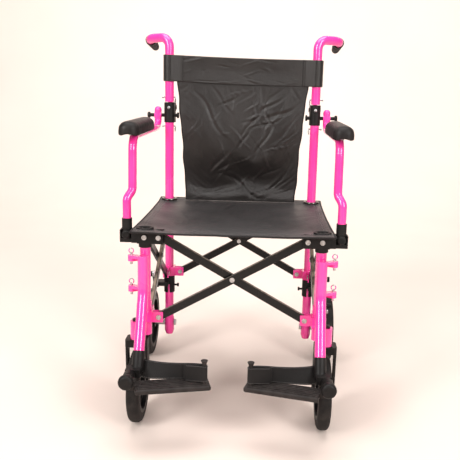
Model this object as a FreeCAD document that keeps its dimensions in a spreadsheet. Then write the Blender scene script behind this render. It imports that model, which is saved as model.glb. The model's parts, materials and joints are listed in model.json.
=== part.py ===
"""Folding transport chair with four scissor pairs: millimetres, +Z up, front towards -Y, +X to the right."""

import FreeCAD, Part
import math
import os
import re

import Sketcher

Vec = FreeCAD.Vector
X_AXIS, Y_AXIS, Z_AXIS = Vec(1, 0, 0), Vec(0, 1, 0), Vec(0, 0, 1)
LEFT, RIGHT = -1, 1
SUFFIX = {LEFT: "l", RIGHT: "r"}

# Driving dimensions. Every cell is a plain number in millimetres, or a plain count.
SIZES = {
    # frame layout
    "half_width": 208, "half_depth": 205, "origin_shift": 26.208, "low_pivot_height": 264,
    "bar_rise": 196, "bar_pitch": 400, "tube_diameter": 25.4, "tube_wall": 1.8,
    # rear posts
    "rear_post_bottom": 64, "rear_post_top": 716, "foot_taper": 12, "foot_inset": 2.2,
    "bore_clearance": 0.05, "running_gap": 0.5, "socket_diameter": 20, "socket_depth": 24,
    "foot_sleeve_top": 116, "foot_sleeve_wall": 1.6,
    # scissor bars
    "bar_depth": 20, "bar_thickness": 9, "bar_gap": 2, "pin_diameter": 8, "rivet_head": 12,
    "rivet_head_thickness": 2.2, "bar_edge_radius": 1.5, "head_gap": 0.2,
    # corner fittings that hold the bar ends
    "cheek_thickness": 3, "cheek_gap": 0.5, "core_half": 17, "low_fitting_height": 26,
    "seat_fitting_height": 30, "seat_fitting_top": 475, "skirt_height": 10, "skirt_diameter": 31,
    "fascia_thickness": 3.5, "slide_clearance": 0.3,
    # front posts and their slide tubes
    "front_post_bottom": 218, "front_post_top": 434, "slide_diameter": 21, "slide_length": 214,
    # caster housings and casters
    "housing_x": 225, "housing_y": 236, "housing_bottom": 216, "housing_height": 44,
    "housing_diameter": 29, "post_sleeve_top": 302, "post_sleeve_diameter": 30, "clamp_bolt_z": 288,
    "clamp_washer": 13, "clamp_washer_thickness": 2, "clamp_head": 9, "clamp_head_length": 7,
    "stem_diameter": 12, "gusset_thickness": 4, "gusset_hole": 6, "gusset_slot": 6,
    "gusset_share": 0.58, "web_low": 0.2, "web_high": 0.8, "trail": 15, "stem_seat": 6,
    "nut_height": 4, "boss_extra": 4, "boss_height": 2, "boss_rise": 1.6, "caster_diameter": 180,
    "wheel_width": 30, "crown_top": 214, "crown_thickness": 18, "fork_width": 53, "fork_leg": 5,
    "crown_length": 40, "fork_end": 13, "crown_round": 6,
    # wheels
    "rear_diameter": 200, "tyre_depth": 23, "rim_depth": 9, "hub_diameter": 34, "hub_width": 34,
    "web_thickness": 9, "axle_diameter": 10, "rear_wheel_x": 268, "axle_head": 19,
    "axle_head_thickness": 6, "axle_gap": 0.4, "nut_taper": 6, "tyre_round": 11, "window_diameter": 26,
    "windows": 6, "through": 60,
    # sleeves and brakes
    "sleeve_bottom": 198, "sleeve_length": 50, "sleeve_diameter": 32, "sleeve_slot": 6, "slot_rise": 8,
    "slot_share": 0.7, "lock_drop": 4, "stalk_diameter": 6, "stalk_length": 9, "button_diameter": 11,
    "button_length": 5, "brake_pivot_y": 178, "brake_pivot_z": 228, "brake_plate": 5, "brake_boss": 8,
    "brake_arm_height": 12, "brake_tab": 22, "brake_lean": 0.6, "brake_rise": 0.8, "brake_radius": 10,
    "brake_arm_x": 244, "shoe_back": 56, "shoe_drop": 32, "shoe_radius": 6, "shoe_length": 28,
    "brake_handle_length": 48,
    # backrest hinge, back tubes and grips
    "hinge_y": 231, "hinge_z": 747, "hinge_eye": 12, "hinge_block_bottom": 705, "hinge_block_top": 761,
    "hinge_block_width": 30, "tongue_thickness": 13, "tongue_slot": 14, "slot_above": 16,
    "slot_below": 26, "pull_offset": 11, "pull_diameter": 4, "pull_length": 4, "back_tube_bottom": 763,
    "plug_height": 6, "ring_rise": 15, "handle_top": 941, "handle_out": 269, "handle_drop": 2,
    "handle_bend": 26, "handle_set_back": 30, "handle_back": 275, "handle_fall": 7, "grip_start": 17,
    "grip_length": 96, "grip_diameter": 30, "grip_collar": 31, "grip_collar_length": 6,
    "grip_round": 8, "grip_neck": 30, "grip_neck_diameter": 28.6, "grip_end": 21, "ring_radius": 8,
    "ring_wire": 1.2,
    # armrests
    "rod_z": 725, "rod_diameter": 10, "rod_inner_x": 186, "rod_outer_x": 265, "rod_cap": 17,
    "rod_cap_length": 8, "cap_round": 2.5, "arm_x": 241, "arm_foot_x": 252, "arm_top_z": 692,
    "arm_front_y": 178, "arm_foot_y": 200, "arm_foot_top": 548, "arm_diameter": 20, "arm_bend": 34,
    "rod_loop": 18, "arm_crest": 15, "arm_drop": 20, "arm_shoulder": 25, "arm_shoulder_bend": 14,
    "arm_lean": 8, "jog_height": 18, "jog_bend": 20, "foot_cap_floor": 6, "foot_knob_length": 9.5,
    "foot_cap_bottom": 455, "foot_cap_height": 47, "foot_cap_diameter": 24, "foot_knob": 20,
    "foot_knob_round": 4, "pad_width": 53, "pad_length": 255, "pad_height": 28, "pad_front": 216,
    "pad_round": 9, "pad_offset": 5, "pad_lift": 2, "pad_crown": 45, "pad_bow": 1020, "saddle_wall": 3,
    "saddle_gap": 0.6,
    # hangers and footrests
    "hanger_y": 236, "hanger_top": 420, "hanger_knee_z": 330, "hanger_foot_y": 301,
    "hanger_foot_z": 204, "hanger_bend": 70, "hanger_lean": 3, "hanger_cap": 2.5, "loop_radius": 5.5,
    "loop_pin": 6, "pin_drop": 15.4, "loop_rise": 12.6, "swing_x": 238, "swing_y": 224,
    "lug_radius": 8, "lug_thickness": 7, "lug_gap": 0.5, "upper_lug_z": 404, "lower_lug_z": 330,
    "foot_sleeve_length": 46, "foot_sleeve_diameter": 28, "foot_sleeve_lap": 6, "foot_arm_gap": 4,
    "foot_arm_edge": 20, "foot_arm_lift": 3, "foot_arm_height": 18, "plate_axis_x": 222,
    "plate_axis_z": 169, "plate_front": 401, "plate_rear": 347, "plate_outer": 205, "plate_yaw": 14,
    "plate_inner": 37, "plate_bottom": 146, "plate_thickness": 12, "plate_round": 4, "rib_height": 1.6,
    "rib_width": 3, "rib_pitch": 8, "rib_inset": 8, "ribs": 6, "knob_diameter": 35, "knob_length": 12,
    "knob_round": 8, "boss_diameter": 26, "pivot_front": 33, "pivot_back": 10, "ear_length": 14,
    "ear_start": 17.5, "boss_length": 22, "boss_back": 6, "strap_post_x": 51, "strap_post_height": 58,
    "strap_post_diameter": 10, "strap_flare": 16, "strap_flare_height": 7, "strap_post_back": 11,
    "strap_start_x": 191, "strap_start_y": 303, "strap_end_x": 62, "strap_end_y": 350,
    "strap_height": 39, "strap_thickness": 2, "strap_bottom": 163,
    # fabric
    "seat_top": 480, "sheet_thickness": 3, "seat_half_width": 236, "seat_front": 252, "seat_rear": 232,
    "grommet_hole": 30, "band_top": 889, "band_bottom": 805, "band_half": 194, "body_top_half": 184,
    "body_foot_half": 158, "body_foot": 486,
}

doc = FreeCAD.newDocument("transport_chair")
sheet = doc.addObject("Spreadsheet::Sheet", "Sizes")
for row, (alias, number) in enumerate(SIZES.items(), start=1):
    sheet.set("A%d" % row, alias)
    sheet.set("B%d" % row, str(number))
    sheet.setAlias("B%d" % row, alias)
doc.recompute()


class Size:
    """The sheet's cells as plain numbers, for places and directions."""


for alias in SIZES:
    setattr(Size, alias, float(sheet.get(alias)))


def bound(text):
    """An expression in which every alias names its cell."""
    return re.sub(r"[a-z]\w*", lambda word: "Sizes."
                  + word.group(0) if word.group(0) in SIZES else word.group(0), text)


def bind(thing, **sizes):
    for name, text in sizes.items():
        thing.setExpression(name, bound(text))
    thing.recompute()
    return thing


# ---- primitives ----------------------------------------------------------------------------------

def rod(name, diameter, length, start, direction=Z_AXIS):
    """A round bar from start along direction; diameter and length are expressions."""
    thing = doc.addObject("Part::Cylinder", name)
    bind(thing, Radius="(%s)/2" % diameter, Height=length)
    thing.Placement = FreeCAD.Placement(start, FreeCAD.Rotation(Z_AXIS, direction))
    return thing


def block(name, centre, length, width, height):
    """A box about its centre; the three sides are expressions."""
    thing = doc.addObject("Part::Box", name)
    bind(thing, Length=length, Width=width, Height=height)
    half = Vec(thing.Length.Value, thing.Width.Value, thing.Height.Value) / 2
    thing.Placement = FreeCAD.Placement(centre - half, FreeCAD.Rotation())
    return thing


def ball(name, radius, centre):
    thing = doc.addObject("Part::Sphere", name)
    bind(thing, Radius=radius)
    thing.Placement = FreeCAD.Placement(centre, FreeCAD.Rotation())
    return thing


def ring(name, radius, wire, centre, direction):
    thing = doc.addObject("Part::Torus", name)
    bind(thing, Radius1=radius, Radius2=wire)
    thing.Placement = FreeCAD.Placement(centre, FreeCAD.Rotation(Z_AXIS, direction))
    return thing


def cone(name, start_diameter, end_diameter, length, start, direction=Z_AXIS):
    thing = doc.addObject("Part::Cone", name)
    bind(thing, Radius1="(%s)/2" % start_diameter, Radius2="(%s)/2" % end_diameter, Height=length)
    thing.Placement = FreeCAD.Placement(start, FreeCAD.Rotation(Z_AXIS, direction))
    return thing


def fuse(name, *things):
    joined = doc.addObject("Part::MultiFuse", name)
    joined.Shapes = list(things)
    joined.Refine = True
    return joined


def cut(name, base, *tools):
    result = doc.addObject("Part::Cut", name)
    result.Base = base
    result.Tool = tools[0] if len(tools) == 1 else fuse(name + "_tools", *tools)
    result.Refine = True
    return result


def group(name, *things):
    """Several separate solids of one sub-part, such as a bar and its rivet."""
    together = doc.addObject("Part::Compound", name)
    together.Links = list(things)
    return together


def rounded(name, base, radius, wanted):
    """Fillet the edges for which wanted(edge) is true."""
    doc.recompute()
    fillet = doc.addObject("Part::Fillet", name)
    fillet.Base = base
    value = getattr(Size, radius)
    fillet.Edges = [(i, value, value) for i, edge in enumerate(base.Shape.Edges, start=1) if wanted(edge)]
    return fillet


# ---- bent tubes ----------------------------------------------------------------------------------

def bent_path(name, corners, bends):
    """A wire of straight runs with a tangent arc at every inner corner, each with its own bend radius."""
    edges, start = [], corners[0]
    for before, corner, after, bend in zip(corners, corners[1:], corners[2:], bends):
        into, out = (corner - before).normalize(), (after - corner).normalize()
        half = into.getAngle(out) / 2
        first = corner - into * bend * math.tan(half)
        last = corner + out * bend * math.tan(half)
        middle = corner + (out - into).normalize() * bend * (1 / math.cos(half) - 1)
        edges += [Part.makeLine(start, first), Part.Arc(first, middle, last).toShape()]
        start = last
    edges.append(Part.makeLine(start, corners[-1]))
    path = doc.addObject("Part::Feature", name)
    path.Shape = Part.Wire(edges)
    return path


def swept(name, path, diameter):
    """A round solid along a path; diameter is an expression."""
    start, after = path.Shape.Edges[0].Vertexes[0].Point, path.Shape.Edges[0].Vertexes[1].Point
    section = doc.addObject("Part::Circle", name + "_section")
    bind(section, Radius="(%s)/2" % diameter)
    section.Placement = FreeCAD.Placement(start, FreeCAD.Rotation(Z_AXIS, after - start))
    sweep = doc.addObject("Part::Sweep", name)
    sweep.Sections = [section]
    sweep.Spine = (path, ["Edge%d" % (i + 1) for i in range(len(path.Shape.Edges))])
    sweep.Solid = True
    return sweep


# ---- sketched bodies -----------------------------------------------------------------------------

def sketched(name, plane):
    """A body with one sketch attached to the body's own origin plane."""
    body = doc.addObject("PartDesign::Body", name)
    sketch = body.newObject("Sketcher::SketchObject", name + "_sketch")
    base = [feature for feature in body.Origin.OriginFeatures if feature.Role == plane][0]
    sketch.AttachmentSupport = (base, [""])
    sketch.MapMode = "FlatFace"
    return body, sketch


def fix(sketch, constraint, text):
    """Add a dimension and bind it to an expression."""
    index = sketch.addConstraint(constraint)
    sketch.setExpression("Constraints[%d]" % index, bound(text))


def outline(sketch, corners):
    """A closed polygon; each corner is a pair of (number, expression) coordinates."""
    count = len(corners)
    points = [Vec(across[0], along[0], 0) for across, along in corners]
    first = sketch.GeometryCount
    for i in range(count):
        sketch.addGeometry(Part.LineSegment(points[i], points[(i + 1) % count]), False)
    for i in range(count):
        sketch.addConstraint(Sketcher.Constraint("Coincident", first + i, 2, first + (i + 1) % count, 1))
    for i, (across, along) in enumerate(corners):
        fix(sketch, Sketcher.Constraint("DistanceX", -1, 1, first + i, 1, across[0]), across[1])
        fix(sketch, Sketcher.Constraint("DistanceY", -1, 1, first + i, 1, along[0]), along[1])


def hole(sketch, centre, radius, radius_text):
    """A round hole; centre is a pair of (number, expression) coordinates."""
    index = sketch.addGeometry(Part.Circle(Vec(centre[0][0], centre[1][0], 0), Z_AXIS, radius), False)
    fix(sketch, Sketcher.Constraint("DistanceX", -1, 1, index, 3, centre[0][0]), centre[0][1])
    fix(sketch, Sketcher.Constraint("DistanceY", -1, 1, index, 3, centre[1][0]), centre[1][1])
    fix(sketch, Sketcher.Constraint("Radius", index, radius), radius_text)


def pad(body, sketch, length, midplane=False):
    feature = body.newObject("PartDesign::Pad", body.Name + "_pad")
    feature.Profile = sketch
    feature.setExpression("Length", bound(length))
    feature.Midplane = midplane
    body.Tip = feature
    return feature


def slot_outline(sketch, length, length_text, radius, radius_text):
    """Two round ends joined by two straight sides, from the origin along the sketch's first axis."""
    quarter = math.pi / 2
    near = Part.ArcOfCircle(Part.Circle(Vec(0, 0, 0), Z_AXIS, radius), quarter, 3 * quarter)
    far = Part.ArcOfCircle(Part.Circle(Vec(length, 0, 0), Z_AXIS, radius), -quarter, quarter)
    near_arc, far_arc = sketch.addGeometry(near, False), sketch.addGeometry(far, False)
    above = sketch.addGeometry(Part.LineSegment(Vec(0, radius, 0), Vec(length, radius, 0)), False)
    below = sketch.addGeometry(Part.LineSegment(Vec(0, -radius, 0), Vec(length, -radius, 0)), False)
    for arc, arc_end, line, line_end in ((near_arc, 1, above, 1), (near_arc, 2, below, 1),
                                         (far_arc, 2, above, 2), (far_arc, 1, below, 2)):
        sketch.addConstraint(Sketcher.Constraint("Tangent", arc, arc_end, line, line_end))
    sketch.addConstraint(Sketcher.Constraint("Coincident", near_arc, 3, -1, 1))
    sketch.addConstraint(Sketcher.Constraint("PointOnObject", far_arc, 3, -1))
    sketch.addConstraint(Sketcher.Constraint("Equal", near_arc, far_arc))
    fix(sketch, Sketcher.Constraint("Radius", near_arc, radius), radius_text)
    fix(sketch, Sketcher.Constraint("DistanceX", -1, 1, far_arc, 3, length), length_text)


def link(name, start, end, normal, radius, thickness):
    """A flat plate with round ends from start to end, centred on its plane."""
    run = end - start
    value = getattr(Size, radius)
    body, sketch = sketched(name, "XY_Plane")
    slot_outline(sketch, run.Length, "%.9f" % run.Length, value, radius)
    pad(body, sketch, thickness, midplane=True)
    body.Placement = FreeCAD.Placement(start, FreeCAD.Rotation(run, normal.cross(run), normal, "XZY"))
    return body


# ---- scissor bars --------------------------------------------------------------------------------

Size.half_span = math.sqrt(Size.bar_pitch ** 2 - Size.bar_rise ** 2) / 2
Size.high_pivot_height = Size.low_pivot_height + Size.bar_rise
PLANE = Size.bar_thickness / 2 + Size.bar_gap / 2
PIN_HOLE = ("pin_diameter+2*bore_clearance", Size.pin_diameter + 2 * Size.bore_clearance)


def scissor_bar(name, low, high, normal):
    """A bar with a hole at each end and one half way, edges softened."""
    body, sketch = sketched(name + "_body", "XY_Plane")
    half_depth = Size.bar_depth / 2
    slot_outline(sketch, Size.bar_pitch, "bar_pitch", half_depth, "bar_depth/2")
    for share in (0, 0.5, 1):
        place = ((share * Size.bar_pitch, "%g*bar_pitch" % share), (0, "0"))
        hole(sketch, place, PIN_HOLE[1] / 2, "(%s)/2" % PIN_HOLE[0])
    pad(body, sketch, "bar_thickness", midplane=True)
    body.Placement = FreeCAD.Placement(low, FreeCAD.Rotation(high - low, normal.cross(high - low), normal,
                                                             "XZY"))

    def outer_rim(edge):
        flat = all(abs(abs((v.Point - low).dot(normal)) - Size.bar_thickness / 2) < 0.01
                   for v in edge.Vertexes)
        closed = len(edge.Vertexes) == 1
        across = abs((edge.Vertexes[0].Point - edge.Vertexes[-1].Point).dot(normal)) > 0.01
        return flat and not closed and not across

    return rounded(name + "_softened", body, "bar_edge_radius", outer_rim)


def rivet(name, centre, normal, grip):
    """A headed pin centred on the pair's mid plane; grip is the length between the heads."""
    shank = rod(name + "_shank", "pin_diameter", "%g" % grip, centre - normal * grip / 2, normal)
    heads = [rod(name + "_head%d" % side, "rivet_head", "rivet_head_thickness",
                 centre + normal * side * grip / 2, normal * side) for side in (-1, 1)]
    return fuse(name, shank, *heads)


def scissor_pair(name, first_low, first_high, second_low, second_high, normal):
    """Two bars side by side and the rivet that joins them at their middles, which stays in the first bar."""
    shift = normal * PLANE
    centre = (first_low + first_high) / 2
    grip = 2 * Size.bar_thickness + Size.bar_gap + 2 * Size.head_gap
    first = scissor_bar(name + "_bar_a", first_low + shift, first_high + shift, normal)
    second = scissor_bar(name + "_bar_b", second_low - shift, second_high - shift, normal)
    pin = rivet(name + "_rivet", centre, normal, grip)
    return {name + "_bar_a": group(name + "_bar_a", first, pin), name + "_bar_b": second}


def cross_pair(name, y, normal):
    span, low, high = Size.half_span, Size.low_pivot_height, Size.high_pivot_height
    return scissor_pair(name, Vec(-span, y, low), Vec(span, y, high), Vec(span, y, low),
                        Vec(-span, y, high), normal)


def side_pair(name, side):
    x, span, low, high = side * Size.half_width, Size.half_span, Size.low_pivot_height, Size.high_pivot_height
    return scissor_pair(name, Vec(x, span, low), Vec(x, -span, high), Vec(x, -span, low),
                        Vec(x, span, high),
                        X_AXIS * side)


# ---- corner fittings -----------------------------------------------------------------------------

def cheeks(name, core, inward, along_normal, plane, pin_z, height):
    """Two cheeks from the core towards the next post, with the pin that carries one bar end between them."""
    reach_to = Size.half_span - Size.bar_depth / 2
    centre_line = abs(core.dot(inward))
    length = centre_line - reach_to
    parts = []
    for side in (-1, 1):
        inner = Size.bar_thickness / 2 + Size.cheek_gap
        offset = plane + side * (inner + Size.cheek_thickness / 2)
        centre = core + inward * length / 2 + along_normal * offset
        sides = {abs(inward.x) > 0.5: "%g" % length, abs(inward.x) < 0.5: "cheek_thickness"}
        parts.append(block("%s_cheek%d" % (name, side), centre, sides[True], sides[False], height))
    outer = Size.bar_thickness / 2 + Size.cheek_gap + Size.cheek_thickness
    middle = core + inward * (centre_line - Size.half_span) + along_normal * plane
    middle.z = pin_z
    proud = Size.rivet_head_thickness / 2
    parts.append(rod(name + "_pin", "pin_diameter", "%g" % (2 * (outer + proud)),
                     middle - along_normal * (outer + proud), along_normal))
    for side in (-1, 1):
        head = middle + along_normal * side * outer
        parts.append(rod("%s_head%d" % (name, side), "rivet_head", "rivet_head_thickness", head,
                         along_normal * side))
    return parts


def fitting(name, side_x, side_y, planes, top, pin_z, height):
    """The core round a post and two pairs of cheeks; planes holds the offsets of the two bars."""
    middle = top - getattr(Size, height) / 2
    core = Vec(side_x * Size.half_width, side_y * Size.half_depth, middle)
    parts = [block(name + "_core", core, "2*core_half", "2*core_half", height)]
    parts += cheeks(name + "_cross", core, X_AXIS * -side_x, Y_AXIS, planes[0], pin_z, height)
    parts += cheeks(name + "_side", core, Y_AXIS * -side_y, X_AXIS, planes[1], pin_z, height)
    return parts


def bar_planes(side_x, side_y, high):
    """Which bar of each pair ends at this corner: its offset from the post's axis along Y and along X."""
    first_cross = (side_x < 0) != high
    first_side = (side_y > 0) != high
    return (-PLANE if first_cross else PLANE), side_x * (PLANE if first_side else -PLANE)


def seat_fitting(side_x, side_y):
    """The fitting under a seat corner: it slides on the rear post or carries a tube into the front one."""
    place = "front" if side_y < 0 else "rear"
    name = "%s_seat_bracket_%s" % (place, SUFFIX[side_x])
    parts = fitting(name + "_part", side_x, side_y, bar_planes(side_x, side_y, True), Size.seat_fitting_top,
                    Size.high_pivot_height, "seat_fitting_height")
    axis = Vec(side_x * Size.half_width, side_y * Size.half_depth, 0)
    skirt_base = Size.seat_fitting_top - Size.seat_fitting_height - Size.skirt_height
    parts.append(rod(name + "_skirt", "skirt_diameter", "skirt_height+1", axis + Z_AXIS * skirt_base))
    if side_y > 0:
        bore = rod(name + "_bore", "tube_diameter+2*slide_clearance", "seat_fitting_height+skirt_height+2",
                   axis + Z_AXIS * (skirt_base - 1))
        return cut(name, fuse(name + "_solid", *parts), bore)
    saddle_x = side_x * Size.arm_foot_x
    outer = Size.foot_cap_diameter / 2 + Size.saddle_gap
    wall, height = Size.saddle_wall, Size.seat_fitting_height
    middle = Size.seat_fitting_top - height / 2
    floor_height = Size.foot_cap_bottom - 1 - (Size.seat_fitting_top - height)
    back = Vec(saddle_x, -Size.arm_foot_y + outer + wall / 2, middle)
    parts.append(block(name + "_back", back, "%g" % (2 * (outer + wall)), "saddle_wall",
                       "seat_fitting_height"))
    for side in (-1, 1):
        wing = Vec(saddle_x + side * (outer + wall / 2), -Size.arm_foot_y + 2, middle)
        parts.append(block("%s_wing%d" % (name, side), wing, "saddle_wall", "%g" % (2 * outer),
                           "seat_fitting_height"))
    floor = Vec(saddle_x, -Size.arm_foot_y + 2, Size.seat_fitting_top - height + floor_height / 2)
    parts.append(block(name + "_floor", floor, "%g" % (2 * (outer + wall)), "%g" % (2 * outer),
                       "%g" % floor_height))
    gap_centre = Vec(side_x * (Size.half_width + Size.arm_foot_x - outer) / 2, -Size.half_depth + 2, middle)
    bridge = Size.arm_foot_x - outer - Size.half_width
    parts.append(block(name + "_bridge", gap_centre, "%g" % bridge, "%g" % (2 * outer),
                       "seat_fitting_height"))
    front_y = -Size.half_depth - Size.core_half
    fascia_end = Size.half_span - Size.bar_depth / 2
    fascia_centre = Vec(side_x * (Size.half_width + fascia_end) / 2, front_y + Size.fascia_thickness / 2,
                        middle)
    parts.append(block(name + "_fascia", fascia_centre, "%g" % (Size.half_width - fascia_end),
                       "fascia_thickness",
                       "seat_fitting_height"))
    body = fuse(name + "_body", *parts)
    rivets = [rod("%s_rivet%d" % (name, place_x), "rivet_head", "rivet_head_thickness",
                  Vec(side_x * place_x, front_y, Size.high_pivot_height), Y_AXIS * -1)
              for place_x in (Size.half_width, Size.half_span)]
    slide = cut(name + "_slide",
                rod(name + "_slide_out", "slide_diameter", "slide_length",
                    axis + Z_AXIS * (skirt_base - Size.slide_length)),
                rod(name + "_slide_in", "slide_diameter-2*tube_wall", "slide_length+2",
                    axis + Z_AXIS * (skirt_base - Size.slide_length - 1)))
    return group(name, body, slide, *rivets)


# ---- posts ---------------------------------------------------------------------------------------

def rear_post(side):
    """A tube with a lined socket in its foot for an anti-tip bar, cross-drilled above it for the axle."""
    name = "rear_post_%s" % SUFFIX[side]
    outer, inner = Size.tube_diameter / 2, Size.tube_diameter / 2 - Size.tube_wall
    foot, liner = Size.rear_post_bottom, Size.rear_post_bottom + Size.socket_depth
    body, sketch = sketched(name + "_body", "XZ_Plane")
    wall_in, wall_out = (inner, "tube_diameter/2-tube_wall"), (outer, "tube_diameter/2")
    bore = (Size.socket_diameter / 2, "socket_diameter/2")
    foot_z, liner_z = (foot, "rear_post_bottom"), (liner, "rear_post_bottom+socket_depth")
    top_z = (Size.rear_post_top, "rear_post_top")
    sleeve_out = (outer + Size.foot_sleeve_wall, "tube_diameter/2+foot_sleeve_wall")
    outline(sketch, [
        (wall_in, top_z), (wall_out, top_z), (wall_out, (Size.foot_sleeve_top, "foot_sleeve_top")),
        (sleeve_out, (Size.foot_sleeve_top, "foot_sleeve_top")),
        (sleeve_out, (foot + Size.foot_taper, "rear_post_bottom+foot_taper")),
        ((outer - Size.foot_inset, "tube_diameter/2-foot_inset"), foot_z), (bore, foot_z), (bore, liner_z),
        (wall_in, liner_z)])
    turned = body.newObject("PartDesign::Revolution", name + "_turned")
    turned.Profile = sketch
    turned.ReferenceAxis = (sketch, ["V_Axis"])
    body.Tip = turned
    body.Placement = FreeCAD.Placement(Vec(side * Size.half_width, Size.half_depth, 0), FreeCAD.Rotation())
    drill = rod(name + "_drill", "axle_diameter+2*bore_clearance", "2*tube_diameter",
                Vec(side * Size.half_width - Size.tube_diameter, Size.half_depth, Size.rear_diameter / 2),
                X_AXIS)
    return cut(name, body, drill)


def rear_link_bracket(side):
    """The welded bracket that carries the lower ends of the rear pair and the side pair."""
    name = "rear_link_bracket_%s" % SUFFIX[side]
    top = Size.low_pivot_height + Size.low_fitting_height / 2
    parts = fitting(name + "_part", side, 1, bar_planes(side, 1, False), top, Size.low_pivot_height,
                    "low_fitting_height")
    bore = rod(name + "_bore", "tube_diameter", "low_fitting_height+2",
               Vec(side * Size.half_width, Size.half_depth, top - Size.low_fitting_height - 1))
    return cut(name, fuse(name + "_solid", *parts), bore)


def front_post(side):
    """Post, caster housing, gusset, link bracket and hanger lugs, all welded into one."""
    name = "front_post_%s" % SUFFIX[side]
    axis = Vec(side * Size.half_width, -Size.half_depth, 0)
    housing = Vec(side * Size.housing_x, -Size.housing_y, 0)
    top = Size.low_pivot_height + Size.low_fitting_height / 2
    parts = fitting(name + "_part", side, -1, bar_planes(side, -1, False), top, Size.low_pivot_height,
                    "low_fitting_height")
    parts.append(rod(name + "_out", "tube_diameter", "front_post_top-front_post_bottom",
                     axis + Z_AXIS * Size.front_post_bottom))
    parts.append(rod(name + "_housing", "housing_diameter", "housing_height",
                     housing + Z_AXIS * Size.housing_bottom))
    parts.append(rod(name + "_sleeve", "post_sleeve_diameter", "post_sleeve_top-front_post_bottom",
                     axis + Z_AXIS * Size.front_post_bottom))
    for level in ("web_low", "web_high"):
        height = Size.housing_bottom + getattr(Size, level) * Size.housing_height
        parts.append(link("%s_%s" % (name, level), axis + Z_AXIS * height, housing + Z_AXIS * height,
                          Z_AXIS,
                          "lug_radius", "gusset_thickness"))
    middle = (axis + housing) / 2 + Z_AXIS * (Size.housing_bottom + Size.gusset_share * Size.housing_height)
    gusset = block(name + "_gusset", Vec(0, 0, 0), "%g" % (housing - axis).Length, "gusset_thickness",
                   "gusset_share*housing_height")
    turn = FreeCAD.Rotation(X_AXIS, housing - axis)
    gusset.Placement = FreeCAD.Placement(middle, turn).multiply(gusset.Placement)
    parts.append(gusset)
    for level in ("upper_lug_z", "lower_lug_z"):
        height = getattr(Size, level) + Size.lug_thickness / 2
        parts.append(link("%s_%s" % (name, level), axis + Z_AXIS * height,
                          Vec(side * Size.swing_x, -Size.swing_y, height), Z_AXIS, "lug_radius",
                          "lug_thickness"))
    across = turn.multVec(Y_AXIS)
    slot = [rod("%s_gusset_hole%d" % (name, i), "gusset_hole", "through",
                middle + Z_AXIS * Size.gusset_slot * share - across * Size.through / 2, across)
            for i, share in enumerate((-1, -1 / 3, 1 / 3, 1))]
    length = Size.front_post_top - Size.front_post_bottom
    bores = slot + [
        rod(name + "_bore", "tube_diameter-2*tube_wall+0.2", "%g" % (length + 2),
            axis + Z_AXIS * (Size.front_post_bottom - 1)),
        rod(name + "_stem_bore", "stem_diameter+2*bore_clearance", "housing_height+2",
            housing + Z_AXIS * (Size.housing_bottom - 1)),
        rod(name + "_swing_bore", "loop_pin+2*bore_clearance", "front_post_top",
            Vec(side * Size.swing_x, -Size.swing_y, Size.housing_bottom)),
    ]
    clamp = axis + Vec(side * Size.post_sleeve_diameter / 2, 0, Size.clamp_bolt_z)
    out = X_AXIS * side
    bolt = fuse(name + "_clamp_bolt",
                rod(name + "_clamp_washer", "clamp_washer", "clamp_washer_thickness", clamp, out),
                rod(name + "_clamp_head", "clamp_head", "clamp_head_length", clamp, out))
    return group(name, cut(name + "_welded", fuse(name + "_solid", *parts), *bores), bolt)


def rear_sleeve(side):
    """A slotted clamp sleeve with its screw, lock pin and the arm that carries the brake lever's pin."""
    name = "rear_sleeve_%s" % SUFFIX[side]
    axis = Vec(side * Size.half_width, Size.half_depth, 0)
    out = X_AXIS * side
    arm_length = Size.brake_arm_x - Size.half_width
    arm_depth = Size.half_depth - Size.brake_pivot_y + Size.brake_boss
    pivot = Vec(side * Size.brake_arm_x, Size.brake_pivot_y, Size.brake_pivot_z)
    arm_middle = Vec(side * (Size.half_width + arm_length / 2), (Size.half_depth + Size.brake_pivot_y) / 2,
                     Size.brake_pivot_z)
    arm = block(name + "_arm", arm_middle, "%g" % arm_length, "%g" % arm_depth, "brake_arm_height")
    tip = rod(name + "_tip", "2*brake_radius", "brake_boss", pivot - out * Size.brake_boss, out)
    pin = rod(name + "_pin", "pin_diameter", "brake_plate+3", pivot - out, out)
    cap = rod(name + "_cap", "rivet_head", "rivet_head_thickness",
              pivot + out * (Size.brake_plate + 3 * Size.running_gap), out)
    shell = rod(name + "_shell", "sleeve_diameter", "sleeve_length", axis + Z_AXIS * Size.sleeve_bottom)
    solid = fuse(name + "_solid", shell, arm, tip, pin, cap)
    bore = rod(name + "_bore", "tube_diameter", "sleeve_length+2", axis + Z_AXIS * (Size.sleeve_bottom - 1))
    slot_middle = Vec(0, -Size.sleeve_diameter / 2, Size.sleeve_bottom + Size.slot_rise)
    slot = block(name + "_slot", axis + slot_middle, "sleeve_slot", "sleeve_diameter/2",
                 "sleeve_length*slot_share")
    body = cut(name + "_body", solid, bore, slot)
    lock_z = Size.sleeve_bottom + Size.sleeve_length / 2 - Size.lock_drop
    face = axis - out * (Size.sleeve_diameter / 2 - Size.running_gap) + Z_AXIS * lock_z
    stalk = rod(name + "_stalk", "stalk_diameter", "stalk_length", face, out * -1)
    button = rod(name + "_button", "button_diameter", "button_length", face - out * (Size.stalk_length - 1),
                 out * -1)
    return fuse(name, body, fuse(name + "_knob", stalk, button))


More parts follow.
